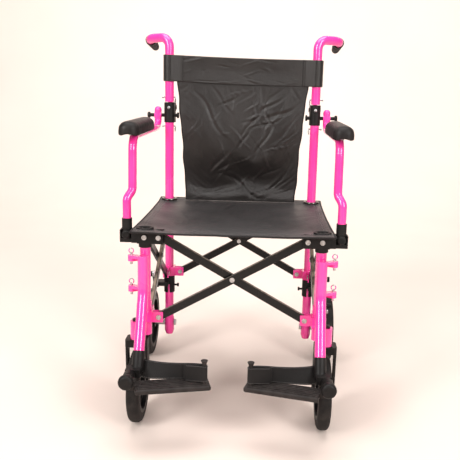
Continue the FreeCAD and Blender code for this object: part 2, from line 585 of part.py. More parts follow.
def rear_axle(side):
    """A shoulder bolt through the post that carries the wheel, with a spacer and a domed nut."""
    name = "rear_axle_%s" % SUFFIX[side]
    out = X_AXIS * side
    centre = Vec(0, Size.half_depth, Size.rear_diameter / 2)
    post_radius = Size.tube_diameter / 2 + Size.foot_sleeve_wall
    inner_face = centre + out * (Size.half_width - post_radius)
    outer_face = centre + out * (Size.half_width + post_radius)
    hub_in = Size.rear_wheel_x - Size.hub_width / 2
    hub_out = Size.rear_wheel_x + Size.hub_width / 2
    gap = hub_in - Size.half_width - post_radius
    reach = hub_out + Size.running_gap + 1 - Size.half_width + post_radius
    shank = rod(name + "_shank", "axle_diameter", "%g" % (reach + 2), inner_face - out * 2, out)
    head = rod(name + "_head", "axle_head", "axle_head_thickness",
               inner_face - out * (Size.axle_head_thickness + Size.head_gap), out)
    spacer = rod(name + "_spacer", "axle_head", "%g" % (gap - 2 * Size.axle_gap),
                 outer_face + out * Size.axle_gap, out)
    nut = cone(name + "_nut", "axle_head", "axle_head-nut_taper", "axle_head_thickness",
               centre + out * (hub_out + Size.running_gap), out)
    return fuse(name, shank, head, spacer, nut)


# ---- wheels --------------------------------------------------------------------------------------

def wheel(place, side, centre, diameter):
    """A spoked rim and its tyre, both round the X axis at centre."""
    rim_name, tyre_name = "%s_rim_%s" % (place, SUFFIX[side]), "%s_tyre_%s" % (place, SUFFIX[side])

    def disc(name, text, width):
        return rod(name, text, width, centre - X_AXIS * getattr(Size, width) / 2, X_AXIS)

    seat = "(%s-2*tyre_depth)" % diameter
    value = getattr(Size, diameter)
    ring_solid = cut(rim_name + "_ring", disc(rim_name + "_ring_out", seat, "wheel_width"),
                     disc(rim_name + "_ring_in", seat + "-2*rim_depth", "through"))
    hub = disc(rim_name + "_hub", "hub_diameter", "hub_width")
    web = disc(rim_name + "_web", seat + "-rim_depth", "web_thickness")
    inner_radius = value / 2 - Size.tyre_depth - Size.rim_depth
    hole_radius = (inner_radius + Size.hub_diameter / 2) / 2
    holes = []
    for i in range(int(Size.windows)):
        angle = 2 * math.pi * i / Size.windows
        window = centre + Vec(-Size.through / 2, hole_radius * math.cos(angle),
                              hole_radius * math.sin(angle))
        holes.append(rod("%s_window%d" % (rim_name, i), "window_diameter", "through", window, X_AXIS))
    bore = disc(rim_name + "_bore", "axle_diameter+2*bore_clearance", "through")
    rim = cut(rim_name, fuse(rim_name + "_solid", ring_solid, hub, web), bore, *holes)
    raw = cut(tyre_name + "_raw", disc(tyre_name + "_out", diameter, "wheel_width"),
              disc(tyre_name + "_in", seat, "through"))

    def tread_edge(edge):
        return abs(edge.BoundBox.ZLength - value) < 0.5

    tyre = rounded(tyre_name, raw, "tyre_round", tread_edge)
    return {rim_name: rim, tyre_name: tyre}


def caster_fork(side):
    """Crown, two legs, axle and the stem that turns in the housing."""
    name = "caster_fork_%s" % SUFFIX[side]
    axis = Vec(side * Size.housing_x, -Size.housing_y, 0)
    axle = axis + Vec(0, Size.trail, Size.caster_diameter / 2)
    crown_centre = axis + Vec(0, Size.trail / 2, Size.crown_top - Size.crown_thickness / 2)
    crown = block(name + "_crown", crown_centre, "fork_width", "crown_length", "crown_thickness")
    boss = rod(name + "_boss", "housing_diameter+boss_extra", "boss_height",
               axis + Z_AXIS * (Size.crown_top + Size.boss_rise - Size.boss_height))
    parts = [crown, boss]
    leg_x = Size.fork_width / 2 - Size.fork_leg / 2
    for across in (-1, 1):
        top = axis + Vec(across * leg_x, Size.trail / 2, Size.crown_top - Size.fork_end - 1)
        foot = axle + X_AXIS * (across * leg_x)
        parts.append(link("%s_leg%d" % (name, across), foot, top, X_AXIS, "fork_end", "fork_leg"))
    parts.append(rod(name + "_stem", "stem_diameter", "housing_height+2*stem_seat+2",
                     axis + Z_AXIS * (Size.crown_top - Size.stem_seat)))
    parts.append(rod(name + "_stem_nut", "axle_head", "nut_height",
                     axis + Z_AXIS * (Size.housing_bottom + Size.housing_height + 1)))
    parts.append(rod(name + "_axle", "axle_diameter", "fork_width", axle - X_AXIS * Size.fork_width / 2,
                     X_AXIS))
    for across in (-1, 1):
        parts.append(rod("%s_axle_head%d" % (name, across), "axle_head-2", "nut_height",
                         axle + X_AXIS * (across * (Size.fork_width / 2 - Size.running_gap)),
                         X_AXIS * across))
    outside = fuse(name + "_solid", *parts)
    return rounded(name, outside, "crown_round", lambda edge: crown_edge(edge, crown_centre))


def crown_edge(edge, centre):
    """The four upright corners of a fork crown."""
    box = edge.BoundBox
    upright = box.ZLength > Size.crown_thickness * 0.4 and box.XLength < 0.01 and box.YLength < 0.01
    corner = abs(abs(box.XMin - centre.x) - Size.fork_width / 2) < 0.01
    corner = corner and abs(abs(box.YMin - centre.y) - Size.crown_length / 2) < 0.01
    return upright and corner


# ---- backrest ------------------------------------------------------------------------------------

def hinge_block(side):
    """The block on the rear post's top: clevis for the back tube, bore for the armrest rod, two ring pins."""
    name = "hinge_block_%s" % SUFFIX[side]
    x, width = side * Size.half_width, Size.hinge_block_width
    height = Size.hinge_block_top - Size.hinge_block_bottom
    depth = Size.hinge_y - Size.running_gap - Size.half_depth
    centre = Vec(x, Size.half_depth + depth / 2, Size.hinge_block_bottom + height / 2)
    main = block(name + "_main", centre, "hinge_block_width", "%g" % depth,
                 "hinge_block_top-hinge_block_bottom")
    front = rod(name + "_front", "hinge_block_width", "hinge_block_top-hinge_block_bottom",
                Vec(x, Size.half_depth, Size.hinge_block_bottom))
    eye = rod(name + "_eye", "2*hinge_eye", "hinge_block_width", Vec(x - width / 2, Size.hinge_y,
                                                                     Size.hinge_z), X_AXIS)
    slot_middle = Size.hinge_z + (Size.slot_above - Size.slot_below) / 2
    slot = block(name + "_slot", Vec(x, Size.hinge_y, slot_middle), "tongue_slot", "2*(hinge_eye+1.5)",
                 "slot_above+slot_below")
    socket = rod(name + "_socket", "tube_diameter+2*bore_clearance", "rear_post_top-hinge_block_bottom+1",
                 Vec(x, Size.half_depth, Size.hinge_block_bottom - 1))
    bore = rod(name + "_bore", "rod_diameter+2*bore_clearance", "hinge_block_width+2",
               Vec(x - width / 2 - 1, Size.half_depth, Size.rod_z), X_AXIS)
    body = cut(name + "_body", fuse(name + "_solid", main, front, eye), slot, socket, bore)
    pin = rod(name + "_hinge_pin", "pin_diameter", "hinge_block_width+2",
              Vec(x - width / 2 - 1, Size.hinge_y, Size.hinge_z), X_AXIS)
    heads = [rod("%s_hinge_head%d" % (name, across), "rivet_head", "rivet_head_thickness",
                 Vec(x + across * (width / 2), Size.hinge_y, Size.hinge_z), X_AXIS * across)
             for across in (-1, 1)]
    whole = fuse(name + "_pinned", body, pin, *heads)
    return group(name, whole, *ring_pin(name, side, Size.hinge_block_bottom - Size.pull_offset))


def ring_pin(name, side, height):
    """The two ends of a pull pin that crosses a tube: a button outboard and a ring inboard."""
    axis, radius = Vec(side * Size.half_width, Size.half_depth, height), Size.tube_diameter / 2
    out = X_AXIS * side
    neck = rod(name + "_pull_neck", "pull_diameter", "pull_length", axis + out * radius, out)
    button = rod(name + "_pull_tip", "1.7*pull_diameter", "pull_length",
                 axis + out * (radius + Size.pull_length), out)
    stalk = rod(name + "_pull_stalk", "pull_diameter", "pull_length+1", axis - out * radius, out * -1)
    loop = ring(name + "_pull_loop", "ring_radius", "ring_wire",
                axis - out * (radius + Size.pull_length) - Z_AXIS * (Size.ring_radius - 1), X_AXIS)
    return [fuse(name + "_pull_button", neck, button), fuse(name + "_pull_ring", stalk, loop)]


def back_tube(side):
    """The folding upper tube with its push handle, and the tongue that turns in the hinge block."""
    name = "back_tube_%s" % SUFFIX[side]
    x, y = side * Size.half_width, Size.half_depth
    handle_start, handle_end = handle_line(side)
    corners = [Vec(x, y, Size.back_tube_bottom), Vec(x, y, Size.handle_top), handle_start, handle_end]
    path = bent_path(name + "_path", corners, [Size.handle_bend, Size.handle_bend])
    outside = swept(name + "_outside", path, "tube_diameter")
    inside = swept(name + "_inside", path, "tube_diameter-2*tube_wall")
    tube = cut(name + "_tube", outside, inside)
    plug = rod(name + "_plug", "tube_diameter", "plug_height", Vec(x, y, Size.back_tube_bottom))
    eye = rod(name + "_eye", "2*(hinge_eye-1)", "tongue_thickness",
              Vec(x - Size.tongue_thickness / 2, Size.hinge_y, Size.hinge_z), X_AXIS)
    top = Size.back_tube_bottom + Size.plug_height
    neck = block(name + "_neck", Vec(x, Size.hinge_y, (Size.hinge_z + top) / 2), "tongue_thickness",
                 "2*(hinge_eye-1)", "back_tube_bottom+plug_height-hinge_z")
    foot = block(name + "_foot", Vec(x, (y + Size.hinge_y) / 2, top - Size.plug_height / 2),
                 "tongue_thickness", "hinge_y-half_depth", "plug_height")
    bore = rod(name + "_bore", "pin_diameter+2*bore_clearance", "tongue_thickness+2",
               Vec(x - Size.tongue_thickness / 2 - 1, Size.hinge_y, Size.hinge_z), X_AXIS)
    whole = cut(name + "_whole", fuse(name + "_solid", tube, plug, eye, neck, foot), bore)
    return group(name, whole, *ring_pin(name, side, Size.hinge_block_top + Size.ring_rise))


def handle_line(side):
    """The corner where the push handle turns back and the end of its tube."""
    out = side * Size.handle_out
    start = Vec(out, Size.half_depth + Size.handle_set_back, Size.handle_top - Size.handle_drop)
    end = Vec(out, Size.handle_back, start.z - Size.handle_fall)
    return start, end


def grip(side):
    """A push grip that tapers from its collar to a closed, rounded end over the tube."""
    name = "grip_%s" % SUFFIX[side]
    handle_start, handle_end = handle_line(side)
    direction = (handle_end - handle_start).normalize()
    start = handle_start + direction * Size.grip_start
    collar = rod(name + "_collar", "grip_collar", "grip_collar_length", start, direction)
    front = cone(name + "_front", "grip_diameter", "grip_neck_diameter", "grip_neck", start, direction)
    back = cone(name + "_back", "grip_neck_diameter", "grip_end", "grip_length-grip_neck",
                start + direction * Size.grip_neck, direction)
    inside_length = (handle_end - start).Length + Size.slide_clearance
    bore = rod(name + "_bore", "tube_diameter+2*bore_clearance", "%g" % (inside_length + 1),
               start - direction, direction)
    solid = cut(name + "_body", fuse(name + "_solid", collar, front, back), bore)
    return rounded(name, solid, "grip_round", lambda edge: is_rim(edge, Size.grip_end / 2))


def is_rim(edge, radius):
    return hasattr(edge.Curve, "Radius") and abs(edge.Curve.Radius
                                                 - radius) < 0.01 and edge.Length > radius * 6


# ---- armrests ------------------------------------------------------------------------------------

def arm_rod(side):
    """The rod through the hinge block on which the armrest turns, with a rounded cap on each end."""
    name = "arm_rod_%s" % SUFFIX[side]
    start = Vec(side * Size.rod_inner_x, Size.half_depth, Size.rod_z)
    shank = rod(name + "_shank", "rod_diameter", "rod_outer_x-rod_inner_x", start, X_AXIS * side)
    inner = rod(name + "_inner", "rod_cap", "rod_cap_length-2", start + X_AXIS * side * Size.running_gap,
                X_AXIS * -side)
    outer = rod(name + "_outer", "rod_cap", "rod_cap_length",
                start + X_AXIS * side * (Size.rod_outer_x - Size.rod_inner_x - 2), X_AXIS * side)
    return rounded(name, fuse(name + "_solid", shank, inner, outer), "cap_round",
                   lambda edge: is_rim(edge, Size.rod_cap / 2))


def armrest_tube(side):
    """From the rod, down behind the pad, forward under it and down to the foot with a small outward jog."""
    name = "armrest_tube_%s" % SUFFIX[side]
    x, foot_x = side * Size.arm_x, side * Size.arm_foot_x
    corners = [
        Vec(x, Size.half_depth, Size.rod_z + Size.arm_crest),
        Vec(x, Size.half_depth, Size.rod_z - Size.arm_drop),
        Vec(x, Size.half_depth - Size.arm_shoulder, Size.arm_top_z),
        Vec(x, -Size.arm_front_y, Size.arm_top_z),
        Vec(x, -Size.arm_front_y - Size.arm_lean, Size.arm_foot_top + Size.jog_height),
        Vec(foot_x, -Size.arm_foot_y, Size.arm_foot_top),
        Vec(foot_x, -Size.arm_foot_y, Size.foot_cap_bottom + Size.foot_cap_floor)]
    bends = [Size.arm_shoulder_bend, Size.arm_shoulder_bend, Size.arm_bend, Size.jog_bend, Size.jog_bend]
    path = bent_path(name + "_path", corners, bends)
    tube = cut(name + "_tube", swept(name + "_outside", path, "arm_diameter"),
               swept(name + "_inside", path, "arm_diameter-2*tube_wall"))
    top = ball(name + "_top", "arm_diameter/2", corners[0])
    sleeve = rod(name + "_sleeve", "rod_loop", "arm_diameter",
                 Vec(x - Size.arm_diameter / 2, Size.half_depth, Size.rod_z), X_AXIS)
    bore = rod(name + "_bore", "rod_diameter+2*bore_clearance", "2*arm_diameter",
               Vec(x - Size.arm_diameter, Size.half_depth, Size.rod_z), X_AXIS)
    return cut(name, fuse(name + "_solid", tube, top, sleeve), bore)


def arm_pad(side):
    """A soft moulded pad on the tube, crowned both ways and grooved underneath to sit over it."""
    name = "arm_pad_%s" % SUFFIX[side]
    tube_x, x = side * Size.arm_x, side * (Size.arm_x + Size.pad_offset)
    bottom = Size.arm_top_z + Size.pad_lift
    top = bottom + Size.pad_height
    middle_y = Size.pad_length / 2 - Size.pad_front
    centre = Vec(x, middle_y, (bottom + top) / 2)
    solid = block(name + "_solid", centre, "pad_width", "pad_length", "pad_height")
    soft = rounded(name + "_soft", solid, "pad_round", lambda edge: upright(edge))
    crown = rod(name + "_crown", "2*pad_crown", "pad_length", Vec(x, -Size.pad_front, top - Size.pad_crown),
                Y_AXIS)
    bow = rod(name + "_bow", "2*pad_bow", "2*pad_width",
              Vec(x - Size.pad_width, middle_y, top - Size.pad_bow), X_AXIS)
    domed = doc.addObject("Part::MultiCommon", name + "_domed")
    domed.Shapes = [soft, crown, bow]
    groove = rod(name + "_groove", "arm_diameter+2*slide_clearance", "pad_length",
                 Vec(tube_x, Size.arm_bend - Size.arm_front_y, Size.arm_top_z), Y_AXIS)
    rear, front = Size.arm_bend - Size.arm_front_y + 1, -Size.pad_front - 1
    nose = block(name + "_nose", Vec(tube_x, (rear + front) / 2, Size.arm_top_z + Size.pad_offset),
                 "arm_diameter+2*slide_clearance", "%g" % (rear - front), "arm_diameter")
    return cut(name, domed, groove, nose)


def upright(edge):
    return edge.BoundBox.XLength < 0.01 and edge.BoundBox.YLength < 0.01


def arm_foot(side):
    """The moulded cap on the armrest's foot, with a domed locking screw in front."""
    name = "arm_foot_%s" % SUFFIX[side]
    axis = Vec(side * Size.arm_foot_x, -Size.arm_foot_y, 0)
    shell = rod(name + "_shell", "foot_cap_diameter", "foot_cap_height",
                axis + Z_AXIS * Size.foot_cap_bottom)
    bore = rod(name + "_bore", "arm_diameter+2*bore_clearance", "foot_cap_height",
               axis + Z_AXIS * (Size.foot_cap_bottom + Size.foot_cap_floor - Size.running_gap))
    knob_place = Vec(0, 3 * Size.running_gap - Size.foot_cap_diameter / 2,
                     Size.foot_cap_bottom + Size.foot_knob / 2)
    knob = rod(name + "_knob", "foot_knob", "foot_knob_length", axis + knob_place, Y_AXIS * -1)
    whole = fuse(name + "_whole", cut(name + "_body", shell, bore), knob)
    return rounded(name, whole, "foot_knob_round", lambda edge: is_rim(edge, Size.foot_knob / 2)
                   and edge.BoundBox.YMax < -Size.arm_foot_y - Size.foot_cap_diameter / 2)


# ---- hangers and footrests -----------------------------------------------------------------------

def hanger(side):
    """The swing-away tube with its two lugs and loop pins."""
    name = "hanger_%s" % SUFFIX[side]
    x = side * Size.half_width
    corners = [Vec(x, -Size.hanger_y, Size.hanger_top),
               Vec(x, -Size.hanger_y - Size.hanger_lean, Size.hanger_knee_z),
               Vec(x, -Size.hanger_foot_y, Size.hanger_foot_z)]
    parts = [swept(name + "_outside", bent_path(name + "_path", corners, [Size.hanger_bend]),
                   "tube_diameter")]
    below_cap = [corners[0] - Z_AXIS * Size.hanger_cap] + corners[1:]
    hollow = swept(name + "_hollow", bent_path(name + "_hollow_path", below_cap, [Size.hanger_bend]),
                   "tube_diameter-2*tube_wall")
    swing = Vec(side * Size.swing_x, -Size.swing_y, 0)
    for level in ("upper_lug_z", "lower_lug_z"):
        low = getattr(Size, level) + Size.lug_thickness + Size.lug_gap
        height = low + Size.lug_thickness / 2
        start = Vec(x + side * 2, -Size.hanger_y - 1, height)
        parts.append(link("%s_%s" % (name, level), start, swing + Z_AXIS * height, Z_AXIS, "lug_radius",
                          "lug_thickness"))
        parts.append(rod("%s_%s_pin" % (name, level), "loop_pin", "4*lug_thickness",
                         swing + Z_AXIS * (low - Size.pin_drop)))
        parts.append(ring("%s_%s_ring" % (name, level), "loop_radius", "ring_wire",
                          swing + Z_AXIS * (low + Size.loop_rise + Size.loop_radius - 1), Y_AXIS))
    return cut(name, fuse(name + "_solid", *parts), hollow)


def sleeve_axis(side):
    """The lower end of the hanger tube and the direction it points in."""
    foot = Vec(side * Size.half_width, -Size.hanger_foot_y, Size.hanger_foot_z)
    knee = Vec(side * Size.half_width, -Size.hanger_y - Size.hanger_lean, Size.hanger_knee_z)
    return foot, (foot - knee).normalize()


def foot_sleeve(side):
    """The telescoping foot arm: sleeve, forward arm and the boss for the footplate's pin."""
    name = "foot_sleeve_%s" % SUFFIX[side]
    foot, down = sleeve_axis(side)
    lap = Size.foot_sleeve_lap
    shell = rod(name + "_shell", "foot_sleeve_diameter", "foot_sleeve_length", foot - down * lap, down)
    end = foot + down * (Size.foot_sleeve_length - lap)
    pivot = Vec(side * Size.plate_axis_x, -Size.plate_rear, Size.plate_axis_z)
    arm_rear, arm_front = end.y + Size.foot_arm_gap, -Size.plate_rear + Size.foot_arm_gap
    arm = block(name + "_arm", Vec((end.x + pivot.x) / 2, (arm_rear + arm_front) / 2,
                                   Size.plate_axis_z + Size.foot_arm_lift),
                "plate_axis_x-half_width+foot_arm_edge", "%g" % (arm_rear - arm_front), "foot_arm_height")
    boss = rod(name + "_boss", "boss_diameter", "boss_length", pivot + Y_AXIS * Size.boss_back, Y_AXIS * -1)
    bore = rod(name + "_bore", "tube_diameter+2*bore_clearance", "2*foot_sleeve_lap+running_gap",
               foot - down * 2 * lap, down)
    pin_bore = rod(name + "_pin_bore", "axle_diameter+2*bore_clearance", "through",
                   pivot + Y_AXIS * Size.through / 3, Y_AXIS * -1)
    return cut(name, fuse(name + "_solid", shell, arm, boss), bore, pin_bore)


def plate_pivot(side):
    """The pin on which the footplate turns and its round knob."""
    name = "plate_pivot_%s" % SUFFIX[side]
    pivot = Vec(side * Size.plate_axis_x, -Size.plate_rear, Size.plate_axis_z)
    knob_y = pivot.y - Size.pivot_front
    shank = rod(name + "_shank", "axle_diameter", "pivot_front+pivot_back",
                pivot + Y_AXIS * Size.pivot_back,
                Y_AXIS * -1)
    knob = rod(name + "_knob", "knob_diameter", "knob_length", Vec(pivot.x, knob_y, pivot.z), Y_AXIS * -1)
    return rounded(name, fuse(name + "_solid", shank, knob), "knob_round",
                   lambda edge: is_rim(edge, Size.knob_diameter / 2) and edge.BoundBox.YMax < knob_y - 1)


def yaw_about(side, centre):
    """The placement that swings a footplate's inner end back about its outer end."""
    return FreeCAD.Placement(Vec(), FreeCAD.Rotation(Z_AXIS, -side * Size.plate_yaw), centre)


def footplate(side):
    """The crowned tread plate with ribs, its ear on the pin and the strap post near its inner end."""
    name = "footplate_%s" % SUFFIX[side]
    centre = Vec(side * (Size.plate_outer + Size.plate_inner) / 2,
                 -(Size.plate_front + Size.plate_rear) / 2,
                 Size.plate_bottom + Size.plate_thickness / 2)
    slab = block(name + "_slab", centre, "plate_outer-plate_inner", "plate_front-plate_rear",
                 "plate_thickness")
    soft = rounded(name + "_soft", slab, "plate_round", lambda edge: True)
    parts = [soft]
    top = Size.plate_bottom + Size.plate_thickness
    for i in range(int(Size.ribs)):
        y = centre.y + (i - (Size.ribs - 1) / 2) * Size.rib_pitch
        parts.append(block("%s_rib%d" % (name, i), Vec(centre.x, y, top),
                           "plate_outer-plate_inner-2*rib_inset",
                           "rib_width", "2*rib_height"))
    post = Vec(side * Size.strap_post_x, Size.strap_post_back - Size.plate_front,
               Size.plate_bottom + Size.plate_round)
    parts.append(rod(name + "_post", "strap_post_diameter", "strap_post_height", post))
    parts.append(cone(name + "_flare", "strap_post_diameter", "strap_flare", "strap_flare_height",
                      post + Z_AXIS * Size.strap_post_height))
    yawed = fuse(name + "_yawed", *parts)
    yawed.Placement = yaw_about(side, Vec(side * Size.plate_outer, centre.y, 0))
    parts = [yawed]
    pivot = Vec(side * Size.plate_axis_x, -Size.plate_rear, Size.plate_axis_z)
    ear_front = pivot - Y_AXIS * Size.ear_start
    parts.append(rod(name + "_ear", "boss_diameter", "ear_length", ear_front, Y_AXIS * -1))
    bridge = Vec(side * (Size.plate_axis_x + Size.plate_outer - Size.boss_diameter / 3) / 2,
                 ear_front.y - Size.ear_length / 2, centre.z + Size.plate_round / 2)
    parts.append(block(name + "_bridge", bridge, "plate_axis_x-plate_outer+boss_diameter*2/3", "ear_length",
                       "plate_thickness"))
    bore = rod(name + "_bore", "axle_diameter+2*bore_clearance", "through", pivot, Y_AXIS * -1)
    return cut(name, fuse(name + "_solid", *parts), bore)


def heel_strap(side):
    """A flat band from the hanger's foot to the strap post."""
    name = "heel_strap_%s" % SUFFIX[side]
    start = Vec(side * Size.strap_start_x, -Size.strap_start_y, 0)
    end = Vec(side * Size.strap_end_x, -Size.strap_end_y, 0)
    run = end - start
    height = Size.strap_bottom + Size.strap_height / 2
    band = block(name, Vec(0, 0, 0), "%g" % run.Length, "strap_thickness", "strap_height")
    turn = FreeCAD.Rotation(X_AXIS, run)
    band.Placement = FreeCAD.Placement((start + end) / 2 + Z_AXIS * height, turn).multiply(band.Placement)
    return band


def brake_lever(side):
    """A bell crank: a shoe that swings against the tyre and a handle with a finger tab."""
    name = "brake_lever_%s" % SUFFIX[side]
    middle = side * (Size.brake_arm_x + Size.brake_plate / 2 + Size.running_gap)
    pivot = Vec(middle, Size.brake_pivot_y, Size.brake_pivot_z)
    shoe = pivot + Vec(0, -Size.shoe_back, -Size.shoe_drop)
    handle = pivot + Vec(0, -Size.brake_lean, Size.brake_rise) * Size.brake_handle_length
    parts = [
        link(name + "_shoe_arm", pivot, shoe, X_AXIS, "brake_radius", "brake_plate"),
        link(name + "_handle_arm", pivot, handle, X_AXIS, "brake_radius", "brake_plate"),
        rod(name + "_shoe", "2*shoe_radius", "shoe_length", shoe - X_AXIS * side * Size.brake_plate / 2,
            X_AXIS * side),
        rod(name + "_tab", "2*brake_radius-4", "brake_tab", handle - X_AXIS * side * Size.brake_plate / 2,
            X_AXIS * side),
    ]
    bore = rod(name + "_bore", "pin_diameter+2*bore_clearance", "through",
               pivot - X_AXIS * Size.through / 2,
               X_AXIS)
    return cut(name, fuse(name + "_solid", *parts), bore)


# ---- fabric --------------------------------------------------------------------------------------

def seat_sling():
    """The seat cloth: a flat sheet over the four seat brackets with a hole round each rear post."""
    body, sketch = sketched("seat_sling", "XY_Plane")
    half, front, rear = Size.seat_half_width, -Size.seat_front, Size.seat_rear
    outline(sketch, [((-half, "-seat_half_width"), (front, "-seat_front")),
                     ((half, "seat_half_width"), (front, "-seat_front")),
                     ((half, "seat_half_width"), (rear, "seat_rear")),
                     ((-half, "-seat_half_width"), (rear, "seat_rear"))])
    for side, text in ((LEFT, "-half_width"), (RIGHT, "half_width")):
        hole(sketch, ((side * Size.half_width, text), (Size.half_depth, "half_depth")),
             Size.grommet_hole / 2,
             "grommet_hole/2")
    pad(body, sketch, "sheet_thickness")
    body.Placement = FreeCAD.Placement(Vec(0, 0, Size.seat_top - Size.sheet_thickness), FreeCAD.Rotation())
    return body


def back_sling():
    """The back cloth: a band between the back tubes and a panel that narrows towards the seat."""
    body, sketch = sketched("back_sling", "XZ_Plane")
    half = [(Size.body_foot_half, "body_foot_half", Size.body_foot, "body_foot"),
            (Size.body_top_half, "body_top_half", Size.band_bottom, "band_bottom"),
            (Size.band_half, "band_half", Size.band_bottom, "band_bottom"),
            (Size.band_half, "band_half", Size.band_top, "band_top")]
    right = [((x, text), (z, z_text)) for x, text, z, z_text in half]
    left = [((-x, "-" + text), (z, z_text)) for x, text, z, z_text in reversed(half)]
    outline(sketch, right + left)
    pad(body, sketch, "sheet_thickness", midplane=True)
    body.Placement = FreeCAD.Placement(Vec(0, Size.half_depth, 0), FreeCAD.Rotation())
    return body


# ---- assembly ------------------------------------------------------------------------------------

def build():
    """Every sub-part by its node name."""
    nodes = {}
    for name, y in (("rear", Size.half_depth), ("front", -Size.half_depth)):
        nodes.update(cross_pair(name, y, Y_AXIS * -1))
    for name, side in (("left", LEFT), ("right", RIGHT)):
        nodes.update(side_pair(name, side))
    one_each_side = {
        "rear_post": rear_post, "rear_sleeve": rear_sleeve, "rear_link_bracket": rear_link_bracket,
        "rear_axle": rear_axle, "hinge_block": hinge_block, "front_post": front_post,
        "caster_fork": caster_fork,
        "back_tube": back_tube, "grip": grip, "arm_rod": arm_rod, "armrest_tube": armrest_tube,
        "arm_pad": arm_pad, "arm_foot": arm_foot, "hanger": hanger, "foot_sleeve": foot_sleeve,
        "plate_pivot": plate_pivot, "footplate": footplate, "heel_strap": heel_strap,
        "brake_lever": brake_lever,
    }
    for side in (LEFT, RIGHT):
        for name, make in one_each_side.items():
            nodes["%s_%s" % (name, SUFFIX[side])] = make(side)
        for place, side_y in (("front", -1), ("rear", 1)):
            nodes["%s_seat_bracket_%s" % (place, SUFFIX[side])] = seat_fitting(side, side_y)
        nodes.update(wheel("rear", side, Vec(side * Size.rear_wheel_x, Size.half_depth,
                                             Size.rear_diameter / 2),
                           "rear_diameter"))
        nodes.update(wheel("caster", side, Vec(side * Size.housing_x, Size.trail - Size.housing_y,
                                               Size.caster_diameter / 2), "caster_diameter"))
    nodes["seat_sling"] = seat_sling()
    nodes["back_sling"] = back_sling()
    return nodes


def check(nodes):
    """Stop if any object failed, or if any sub-part is empty or invalid."""
    doc.recompute()
    faults = ["%s: %s" % (thing.Name, thing.State) for thing in doc.Objects
              if "Invalid" in thing.State or "Error" in thing.State]
    for name, thing in nodes.items():
        if thing.Shape.isNull() or not thing.Shape.isValid() or not thing.Shape.Solids:
            faults.append("%s: no valid shape" % name)
    if faults:
        raise RuntimeError("; ".join(faults))


nodes = build()
to_origin = FreeCAD.Placement(Y_AXIS * Size.origin_shift, FreeCAD.Rotation())
for name, thing in nodes.items():
    thing.Label = name
    thing.Placement = to_origin.multiply(thing.Placement)
check(nodes)
os.makedirs("parts", exist_ok=True)
for name, thing in nodes.items():
    thing.Shape.exportStep("parts/%s.step" % name)
print("%d nodes, %d solids" % (len(nodes), sum(len(thing.Shape.Solids) for thing in nodes.values())))
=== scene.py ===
"""Looks for the folding transport chair: cloth, webbing, pads, grips, tyres and finishes."""

import json
import math
import random

import bmesh
import bpy
import numpy as np
from mathutils import Matrix, Vector

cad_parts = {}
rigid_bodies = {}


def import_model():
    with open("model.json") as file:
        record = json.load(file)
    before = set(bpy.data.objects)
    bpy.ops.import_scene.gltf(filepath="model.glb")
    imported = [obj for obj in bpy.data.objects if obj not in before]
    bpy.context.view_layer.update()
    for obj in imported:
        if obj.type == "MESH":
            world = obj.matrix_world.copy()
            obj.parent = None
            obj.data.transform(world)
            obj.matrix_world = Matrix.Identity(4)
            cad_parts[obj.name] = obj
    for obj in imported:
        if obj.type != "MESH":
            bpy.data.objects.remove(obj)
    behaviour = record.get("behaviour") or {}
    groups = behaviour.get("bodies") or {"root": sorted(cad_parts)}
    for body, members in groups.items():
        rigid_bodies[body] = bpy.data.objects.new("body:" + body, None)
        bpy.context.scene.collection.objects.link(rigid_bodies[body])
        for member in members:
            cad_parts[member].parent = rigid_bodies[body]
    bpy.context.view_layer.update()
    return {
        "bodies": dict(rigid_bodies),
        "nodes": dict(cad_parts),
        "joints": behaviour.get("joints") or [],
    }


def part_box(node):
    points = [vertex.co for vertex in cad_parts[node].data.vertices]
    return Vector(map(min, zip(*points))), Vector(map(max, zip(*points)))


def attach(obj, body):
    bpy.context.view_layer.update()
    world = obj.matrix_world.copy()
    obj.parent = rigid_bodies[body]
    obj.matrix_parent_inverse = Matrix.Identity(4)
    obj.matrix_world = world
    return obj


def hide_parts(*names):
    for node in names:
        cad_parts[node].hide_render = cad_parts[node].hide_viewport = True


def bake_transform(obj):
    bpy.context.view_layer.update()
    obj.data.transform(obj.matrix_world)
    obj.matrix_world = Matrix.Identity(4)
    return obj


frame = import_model()

SIDES = {"l": ("left", -1), "r": ("right", 1)}
JOINTS = {joint["name"]: joint for joint in frame["joints"]}
MM = 0.001


def pivot(name):
    """The place of a joint, in metres."""
    return Vector(JOINTS[name]["pos_m"])


def middle(node):
    low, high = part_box(node)
    return (low + high) / 2


# ---- node materials --------------------------------------------------------------------------------

def linear(red, green, blue):
    """A linear colour from the 0 to 255 values that a screen shows."""
    def channel(value):
        share = value / 255
        return share / 12.92 if share <= 0.04045 else ((share + 0.055) / 1.055) ** 2.4
    return (channel(red), channel(green), channel(blue), 1)


